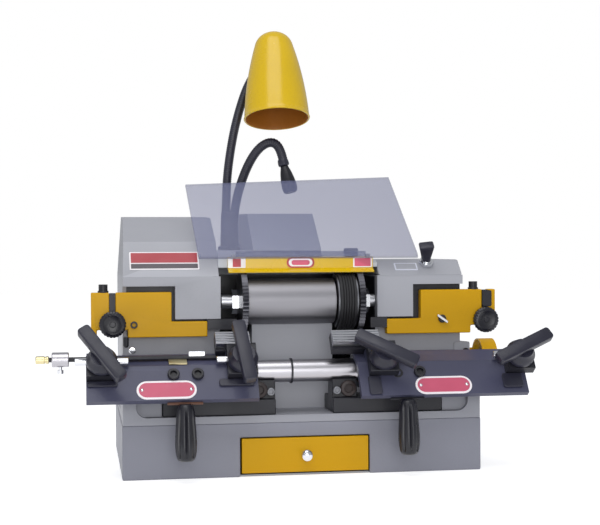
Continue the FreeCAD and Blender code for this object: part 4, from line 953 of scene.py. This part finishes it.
# %% A tree for screws
def screw_tree():
    tree, given = new_tree("set_screws", Screw="Object", Size="Float")
    model = node(tree, "GeometryNodeObjectInfo", {"Object": given["Screw"]})
    way = node(tree, "GeometryNodeInputNamedAttribute", {"Name": "way_out"}, data_type="FLOAT_VECTOR")
    aim = node(tree, "FunctionNodeAlignRotationToVector", {"Vector": way.outputs["Attribute"]}, axis="Z")
    stand = node(tree, "GeometryNodeInstanceOnPoints",
                 {"Points": given[0], "Instance": model.outputs["Geometry"], "Rotation": aim.outputs[0],
                  "Scale": given["Size"]})
    return close_tree(tree, given, stand.outputs[0])


SCREWS = screw_tree()
SOCKET_HEAD = [(0, -0.4), (5, -0.4), (5, 2.6), (4.4, 3.2), (3.0, 3.2), (2.7, 2.9), (2.6, 1.0), (0, 0.8)]
ROUND_HEAD = [(0, -0.3), (2.4, -0.3), (2.4, 0.5), (2.0, 1.1), (1.1, 1.5), (0, 1.6)]


def screws(name, profile, places, out, body, finish, size=1.0):
    """Screws of one kind on one body, all with the same way out."""
    model = raw_object(name + "_model", spun(profile, 24))
    clean(model.data)
    cloud = bpy.data.meshes.new(name + "_spots")
    cloud.from_pydata(scaled(places), [], [])
    ways = cloud.attributes.new("way_out", "FLOAT_VECTOR", "POINT")
    for entry in ways.data:
        entry.vector = out
    item = grown(name, placed(name + "_source", cloud), SCREWS, Screw=model, Size=size, Finish=finish)
    bpy.data.objects.remove(model)
    shade(item.data, 35)
    tie(item, body)


print("screws can be set")

# %% Screws on carriages, plates and brackets
FRONT = (0, -1, 0)
RIVET_REACH, RIVET_SEAT = 26, 1.3
PLATE_SCREWS = {"left": ((-145.5, -11.6, 0), (-119.5, -11.6, 0)),
                "right": ((100.5, -14, -3.75), (125, -14, 0))}
for side, (middle, along) in NAMEPLATE_PLACES.items():
    heads = [on_slope(*place).translation for place in PLATE_SCREWS[side]]
    screws("plate_screws_" + side, SOCKET_HEAD, heads, SLOPE_OUT, "carriage_" + side, BLACK_PAINT,
           1.3)
    pins = [on_slope(middle + reach, along, RIVET_SEAT).translation
            for reach in (-RIVET_REACH, RIVET_REACH)]
    screws("nameplate_rivets_" + side, ROUND_HEAD, pins, SLOPE_OUT, "carriage_" + side, CHROME,
           0.8)
screws("bracket_grub_screw", SOCKET_HEAD, [(-184.8, -103.2, 165.4)], FRONT, "frame", BLACK_PAINT,
       0.8)

# %% [markdown]
# ## Tracer knobs and the right-hand lock screw
# Each tracer is set by a round knob with a finely ridged rim and a dished face. The ridges are part
# of the spin, as on the grips, because they are too fine to model one by one. The right bracket also
# carries a slotted lock screw.

# %% Ridged knobs
TRACERS = {"left": -208.5, "right": 219.5}
TRACER_KNOB_Y, TRACER_KNOB_Z, BRACKET_FACE = -104.5, 166.3, -104
RIM = [(0, -12), (3, -12), (3, 0), (13.6, 0), (14.8, 1.0), (14.8, 5.2), (13.0, 7.0), (10.6, 7.5),
       (9.6, 6.8), (3.4, 6.6), (2.8, 7.3), (0, 7.4)]
for side, x in TRACERS.items():
    seat = facing(x, TRACER_KNOB_Y, TRACER_KNOB_Z)
    piece("ridged_knob_" + side, [(spun(RIM, 96, 24, 0.7, (0.5, 6)), seat, GRIP_BLACK)],
          "tracer_knob_" + side, ["tracer_knob_" + side])
SLOT_HEAD = [(0, -0.4), (4.6, -0.4), (4.6, 2.0), (4.0, 2.6), (0, 2.6)]
SLOT_TURN = -35
lock_seat = facing(168.2, BRACKET_FACE, 168) @ Matrix.Rotation(math.radians(SLOT_TURN), 4, "Z")
piece("lock_screw", [(spun(SLOT_HEAD, 28), lock_seat, BLACK_PAINT),
                     (plate(7.4, 1.5, 1.4, 1.6, 0.4, 2.2), lock_seat, CHROME)], "frame")

# %% [markdown]
# ## Key gauge
# The gauge is a thin rod along the left carriage. Its two fingers, a brass one and a bright one, set
# the shoulders of both keys to the same place, and a collar with a thumb screw holds it. The rod,
# its tip and the collar are spins about one line.

# %% Gauge rod, collar and fingers
GAUGE_LEFT, GAUGE_Y, GAUGE_Z = -291, -147.007, 131.582
ROD = [(0, 13), (2.6, 13), (2.6, 192.6), (2.2, 193), (0, 193)]
TIP = [(0, 0), (3.4, 0), (4.2, 0.8), (4.2, 9), (3.6, 9.6), (3.6, 11), (4.2, 11.6), (4.2, 13.2), (3.4, 14),
       (0, 14)]
COLLAR = [(0, 17), (7.2, 17), (8, 17.8), (8, 19), (8, 33), (8, 34.2), (7.2, 35), (0, 35)]
SCREW = [(0, 0), (3.0, 0), (3.4, 0.4), (3.4, 4), (1.8, 4.4), (1.8, 8), (0, 8)]
FLAT_X, FLAT_LEAN, TALL_X = -140, 21.8, -119
SCREW_ALONG, SCREW_HANG = 26, 15
line = sideways(GAUGE_LEFT, GAUGE_Y, GAUGE_Z)
flat_seat = leaning((FLAT_X, GAUGE_Y, GAUGE_Z), FLAT_LEAN) @ Matrix.Translation((0, -5.5, -2.6))
tall_seat = Matrix.Translation((TALL_X, GAUGE_Y, GAUGE_Z))
screw_seat = Matrix.Translation((GAUGE_LEFT + SCREW_ALONG, GAUGE_Y, GAUGE_Z - SCREW_HANG))
piece("gauge_rod", [(spun(ROD, 20), line, BLACK_PAINT), (spun(TIP, 24), line, BRASS),
                    (spun(COLLAR, 48), line, SHAFT), (spun(SCREW, 24), screw_seat, CHROME),
                    (plate(10, 6.5, 0.6, 2), flat_seat, BRASS), (plate(9, 2, 0.6, 6.5), tall_seat, CHROME)],
      "gauge", ["key_gauge"])

# %% [markdown]
# ## Drive belt
# One belt runs from the motor to the spindle. Its outline is two arcs and two straight runs; a
# grooved section carried round that loop gives a belt with real ribs.

# %% Ribbed belt
SPINDLE_Y, SPINDLE_Z = -88, 189.5
SPINDLE_WRAP, MOTOR_WRAP, ARC_STEPS = 28.9, 20.9, 40
BELT_EDGE, NOTCH_HALF, NOTCH_DEEP = 0.5, 0.7, 1.0


def belt_loop():
    """Points and outward directions round both pulleys, in the YZ plane."""
    first, second = Vector((SPINDLE_Y, SPINDLE_Z)), Vector((MOTOR_Y, MOTOR_Z))
    gap = second - first
    along = math.atan2(gap.y, gap.x)
    spread = math.acos((SPINDLE_WRAP - MOTOR_WRAP) / gap.length)
    turns = []
    for centre, radius, start, sweep in ((first, SPINDLE_WRAP, along + spread, 2 * math.pi - 2 * spread),
                                         (second, MOTOR_WRAP, along - spread, 2 * spread)):
        for step in range(ARC_STEPS + 1):
            angle = start + sweep * step / ARC_STEPS
            way = Vector((math.cos(angle), math.sin(angle)))
            turns.append((centre + way * radius, way))
    return turns


def belt_shape(left, right, thick, ribs_across):
    section = [(left, 0.0), (left, thick - BELT_EDGE), (left + BELT_EDGE, thick)]
    pitch = (right - left - 2 * BELT_EDGE) / ribs_across
    for rib in range(1, ribs_across):
        groove = left + BELT_EDGE + pitch * rib
        section += [(groove - NOTCH_HALF, thick), (groove, thick - NOTCH_DEEP), (groove + NOTCH_HALF, thick)]
    section += [(right - BELT_EDGE, thick), (right, thick - BELT_EDGE), (right, 0.0)]
    corners = [(x, *(point + way * height)) for point, way in belt_loop() for x, height in section]
    width = len(section)
    rings = [range(first, first + width) for first in range(0, len(corners), width)]
    faces = []
    for low, high in zip(rings, rings[1:] + rings[:1]):
        faces += bridge(low, high)
    return corners, faces


piece("ribbed_belt", [(belt_shape(46.5, 65.5, 4, 6), Matrix(), RUBBER)], "frame",
      ["drive_belt"], 25)

# %% [markdown]
# ## Painted shade in the recesses
# The recesses behind the brackets and round the cutters get painted shade, and small black blocks put
# painted shade into the brackets' slits. The casting behind is one grey solid, so thin black plates just off
# its faces do this.

# %% Painted shade linings
RECESS_FACE, SLIT_BACK, SLIT_LOW, SLIT_HIGH = -92, -94, 180.1, 200.8
RECESSES = [(-192.6, -139.3, 152, 207.7), (-139.3, -103.4, 162, 170.7), (134.3, 192.6, 152, 207.7),
            (103.4, 134.3, 162, 170.7)]
# Black plates where the recesses, slits and the cutters' notch fall dark: painted shade.
painted_shade_plates = []
for left, right, low, high in RECESSES:
    seat = facing((left + right) / 2, RECESS_FACE, (low + high) / 2)
    painted_shade_plates.append((plate((right - left) / 2, (high - low) / 2, 0.4, 0.5, 0.1), seat))
for x in TRACERS.values():
    seat = facing(x, SLIT_BACK, (SLIT_LOW + SLIT_HIGH) / 2)
    painted_shade_plates.append((plate(3.3, (SLIT_HIGH - SLIT_LOW) / 2, 0.4, 9, 0.2), seat))
painted_shade_plates.append((plate(5.6, 9.3, 2, 1.6, 0.4), facing(221.6, BRACKET_FACE, 190.9)))
for x in (-87.9, 91.4):
    painted_shade_plates.append((plate(34, 32, 0.4, 0.5, 0.1), sideways(x, -57, 185)))
painted_shade_plates.append((plate(89, 33, 0.4, 0.5, 0.1), facing(2, -20.2, 186)))
piece("black_linings", [(shape, seat, BLACK_PAINT) for shape, seat in painted_shade_plates], "frame")

# %% [markdown]
# ## Pins, lugs and knobs
# A bright guide pin stands out of each vise jaw on both sides of its stud, a dark locating pin hangs
# under the left bracket, a lug stands at the right of the body, and the drawer has a turned chrome
# knob. All but the lug are turned parts, so they are spins.

# %% Guide pins in the jaws
PINS = {"left_outer": (-250, -193), "left_inner": (-99, -56), "right_inner": (68.5, 111),
        "right_outer": (211, 254)}
STUD_ROOM = 5.6
PIN_ALONG, PIN_DEPTH = 3, 6.2
for name, (start, end) in PINS.items():
    stud_x = VISES[name][0]
    halves = []
    for first, last in ((start, stud_x - STUD_ROOM), (stud_x + STUD_ROOM, end)):
        length = last - first
        profile = [(0, 0), (3.2, 0), (4, 0.8), (4, length - 0.8), (3.2, length), (0, length)]
        seat = sideways(*on_slope(first, PIN_ALONG, PIN_DEPTH).translation)
        halves.append((spun(profile, 24), seat, CHROME))
    piece("jaw_pin_" + name, halves, "jaw_" + name)

# %% Body lugs, thumb knob and drawer knob
HANG_PIN = [(0, 0), (1.6, 0), (3.2, 1.8), (3.2, 11.4), (0, 11.4)]
SMALL_CAP = [(0, 0), (4, 0), (4, 1.6), (3.2, 2.4), (0, 2.6)]
LUG = [(8.6, 6.8, 1.5, -30), (9.6, 7.8, 2, -0.8), (9.0, 7.2, 1.5, 0)]
piece("body_lugs", [(spun(HANG_PIN, 20), Matrix.Translation((-193.6, -98, 140)), BLACK_PAINT),
                    (spun(SMALL_CAP, 20), facing(-186.5, -92, 136.5), CHROME),
                    (loft(LUG), facing(195, -93, 132.5), GREY),
                    (spun(SMALL_CAP, 20), facing(199.5, -93, 129), BLACK_PAINT)], "frame")
THUMB = [(0, 0), (4, 0), (4, 3.6), (7.8, 4.2), (8.4, 5), (8.4, 12.6), (7.6, 13.6), (0, 14)]
thumb_seat = Matrix.Translation((66.5, -78, 236))
piece("cover_thumb_screw", [(spun(THUMB, 72, 24, 0.7, (4.5, 13)), thumb_seat, PULLEY)],
      "frame")


def middle_of(name):
    """The middle in X and Z and the two ends in Y of a solid's box, in millimetres."""
    low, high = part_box(name)
    return (low[0] + high[0]) / 2 / MM, (low[2] + high[2]) / 2 / MM, low[1] / MM, high[1] / MM


pull_x, pull_z, pull_tip, pull_root = middle_of("drawer_knob")
pull_length = pull_root - pull_tip
PULL = [(0, 0), (4.6, 0), (4.6, 0.8), (3.5, 1.4), (3.3, 4.4), (4.4, 6.2), (6.1, 8.0), (6.5, 9.6),
        (6.4, 11.4), (5.6, 13.2), (4.0, 14.4), (2.0, pull_length - 0.2), (0, pull_length)]
piece("drawer_pull", [(spun(PULL, 48), facing(pull_x, pull_root, pull_z), CHROME)], "drawer",
      ["drawer_knob"])

# %% [markdown]
# ## Yellow strip and inlet
# The strip in front of the cutters carries the shield's hinge in two small grey ears. It is bent from
# sheet, so a straight run of its section makes it. At the back is a mains inlet with three flat pins.

# %% Strip, ears and inlet pins
STRIP = [(-95, 239.4), (-95, 226), (-105.5, 222.4), (-105.9, 223.7), (-98, 227.4), (-98, 239.4),
         (-97.4, 240), (-95.6, 240)]
strip = [(run(STRIP, -79, 88), Matrix(), LEMON)]
for x in (-73, 82):
    strip.append((plate(2.5, 2.6, 1.2, 6, 0.4), facing(x, -95, 240.9), GREY))
piece("hinge_strip", strip, "frame", ["shield_strip"])


def behind(x, y, z):
    """A frame on a face that looks to the back."""
    return basis((x, y, z), (-1, 0, 0), (0, 0, 1), (0, 1, 0))


INLET_FLOOR = 2
inlet_x, inlet_z, inlet_front = middle_of("power_inlet")[:3]
inlet_seat = behind(inlet_x, inlet_front + INLET_FLOOR, inlet_z)
blades = [(plate(1.0, 2.4, 0.4, 4.6, 0.3), inlet_seat @ Matrix.Translation((x, z, 0)), BRASS)
          for x, z in ((-6.5, -2), (0, 2.4), (6.5, -2))]
piece("inlet_pins", blades, "frame")
print("small parts are on")

# %% [markdown]
# ## Shield
# The shield is one clear sheet with polished edges. Its left side leans outward and its right side
# inward, so it is drawn through its own corners and not as a plate. Along the bottom runs the thin
# barrel that turns on the strip's ears.

# %% Shield sheet
SHIELD_LEAN, SHIELD_Y, SHIELD_Z = 49.5, -99.5, 243.5
OUTLINE = [(-112.5, -5.5), (140, -5.5), (140, 0), (124.5, 119.3), (-121.3, 105.8)]
BARREL = [(0, 0), (2.4, 0), (3, 0.6), (3, 148.4), (2.4, 149), (0, 149)]


def sheet(outline, low, high, edge):
    """A flat sheet of any outline with its edges broken."""
    ends = [Vector(corner) for corner in outline]
    middle = sum(ends, Vector((0, 0))) / len(ends)
    corners, rings = [], []
    for height, inset in ((low, edge), (low + edge, 0), (high - edge, 0), (high, edge)):
        rings.append(range(len(corners), len(corners) + len(ends)))
        corners += [(*(end + (middle - end).normalized() * inset), height) for end in ends]
    return corners, capped(rings)


shield_seat = leaning((0, SHIELD_Y, SHIELD_Z), SHIELD_LEAN)
clear_sheet = piece("shield_sheet", [(sheet(OUTLINE, -2, 2, 0.5), shield_seat, SHIELD),
                                     (spun(BARREL, 20), sideways(-70, SHIELD_Y, SHIELD_Z), SHIELD)],
                    "shield", ["shield"], 30)
clear_sheet.visible_shadow = False
print("shield is", len(clear_sheet.data.polygons), "faces and lets the light through")

# %% [markdown]
# ## Vise feet, bed ends and saddle clamps
# Black feet stand on the sloping plates under the vises, just below the heel of each moving jaw. Grey
# plates close the bed's pockets beside the saddles, and round clamp bosses hold the carriage shaft
# down in its saddles.

# %% Feet under the vises
FOOT_TOP, FOOT_THICK = -18.6, 3
FEET = {"left": ((-237, -205, -25), (-97, -59, -27)), "right": ((66, 80, -41), (218, 240.5, -36))}
for side, spans in FEET.items():
    chunks = []
    for left, right, low in spans:
        seat = on_slope((left + right) / 2, (FOOT_TOP + low) / 2, 0)
        foot = plate((right - left) / 2, (FOOT_TOP - low) / 2, 2.5, FOOT_THICK, 0.6)
        chunks.append((foot, seat, BLACK_PLASTIC))
    piece("vise_feet_" + side, chunks, "carriage_" + side)

# %% Bed ends and clamp bosses
POCKET_MIDDLE, POCKET_FACE = 170.8, -140
# The pocket plates take the bed's darker grey, which is painted shade.
piece("bed_end_plates", [(plate(13.9, 11, 0.4, 3, 0.3), facing(x, POCKET_FACE, 78.2), BED_SHADED_GREY)
                         for x in (-POCKET_MIDDLE, POCKET_MIDDLE)], "frame")
POST_FACE, BOSS_HEIGHT, SCREW_DROP = -141, 94, 2
CLAMP_BOSS = [(0, -0.5), (9, -0.5), (9, 2.2), (8.2, 3.2), (5.2, 3.6), (4.6, 3.0), (4.4, 1.6), (0, 1.4)]
screws("saddle_clamps", CLAMP_BOSS, [(x, POST_FACE, BOSS_HEIGHT) for x in (-50, 50)], FRONT,
       "frame", SADDLE_BROWN)
screws("saddle_screws", SOCKET_HEAD, [(x, POST_FACE, BOSS_HEIGHT - SCREW_DROP) for x in (-37, 37)], FRONT,
       "frame", PULLEY, 0.9)

# %% [markdown]
# ## Back
# The motor sits behind an access panel on the back, with pressed louvres for its cooling air, round
# screws along the edge and a plain rating plate above the mains inlet. A node tree repeats the louvre
# and the dark slot under it down the panel.

# %% Access panel and rating plate
BACK_Y = 110
PANEL_X, PANEL_Z, PANEL_HALF_X, PANEL_HALF_Z, PANEL_THICK = -45, 136, 84, 50, 1.5
SCREW_INSET = 6
panel_seat, rating_seat = behind(PANEL_X, BACK_Y, PANEL_Z), behind(134, BACK_Y, 150)
piece("back_panel", [(plate(PANEL_HALF_X, PANEL_HALF_Z, 6, PANEL_THICK, 0.4), panel_seat, GREY)],
      "frame")
piece("rating_plate", [(plate(24, 13, 1.5, 0.7, 0.2), rating_seat, LABEL_WHITE),
                       (plate(22.4, 11.4, 1, 0.3, 0.1, 0.6), rating_seat, SHEET)], "frame")
edge = [(PANEL_X + across * (PANEL_HALF_X - SCREW_INSET), BACK_Y + PANEL_THICK,
         PANEL_Z + up * (PANEL_HALF_Z - SCREW_INSET)) for across in (-1, 0, 1) for up in (-1, 1)]
screws("back_panel_screws", ROUND_HEAD, edge, (0, 1, 0), "frame", GROUND, 1.4)

# %% Louvres
def row_tree():
    tree, given = new_tree("row_down", Count="Int", Pitch="Float")
    step = node(tree, "ShaderNodeCombineXYZ", {"Z": calc(tree, "MULTIPLY", given["Pitch"], -1)})
    line = node(tree, "GeometryNodeMeshLine", {"Count": given["Count"], "Offset": step.outputs[0]})
    stand = node(tree, "GeometryNodeInstanceOnPoints", {"Points": line.outputs[0], "Instance": given[0]})
    return close_tree(tree, given, stand.outputs[0])


ROW = row_tree()
LOUVRE_COUNT, LOUVRE_PITCH, LOUVRE_TOP, SLOT_DROP = 7, 9.5, 166, 3.4
LOUVRE = plate(26, 2.6, 2.6, 3.4, 1.5, -0.2)
SLOT = plate(25, 0.8, 0.7, 0.6, 0.15, -0.2)
for side, x in (("left", -83), ("right", -7)):
    for part, shape, drop, finish, slot in (("louvres", LOUVRE, 0, GREY, "grey_paint"),
                                            ("slots", SLOT, SLOT_DROP, BLACK_PAINT, "black_metal")):
        first = raw_object(part + "_first", shape, behind(x, BACK_Y + PANEL_THICK, LOUVRE_TOP - drop))
        clean(first.data)
        item = grown("%s_%s" % (part, side), first, ROW, Count=LOUVRE_COUNT, Pitch=MM * LOUVRE_PITCH,
                     Finish=finish)
        shade(item.data, 50)
        tie(item, "frame")
print("back panel has", 2 * LOUVRE_COUNT, "louvres")
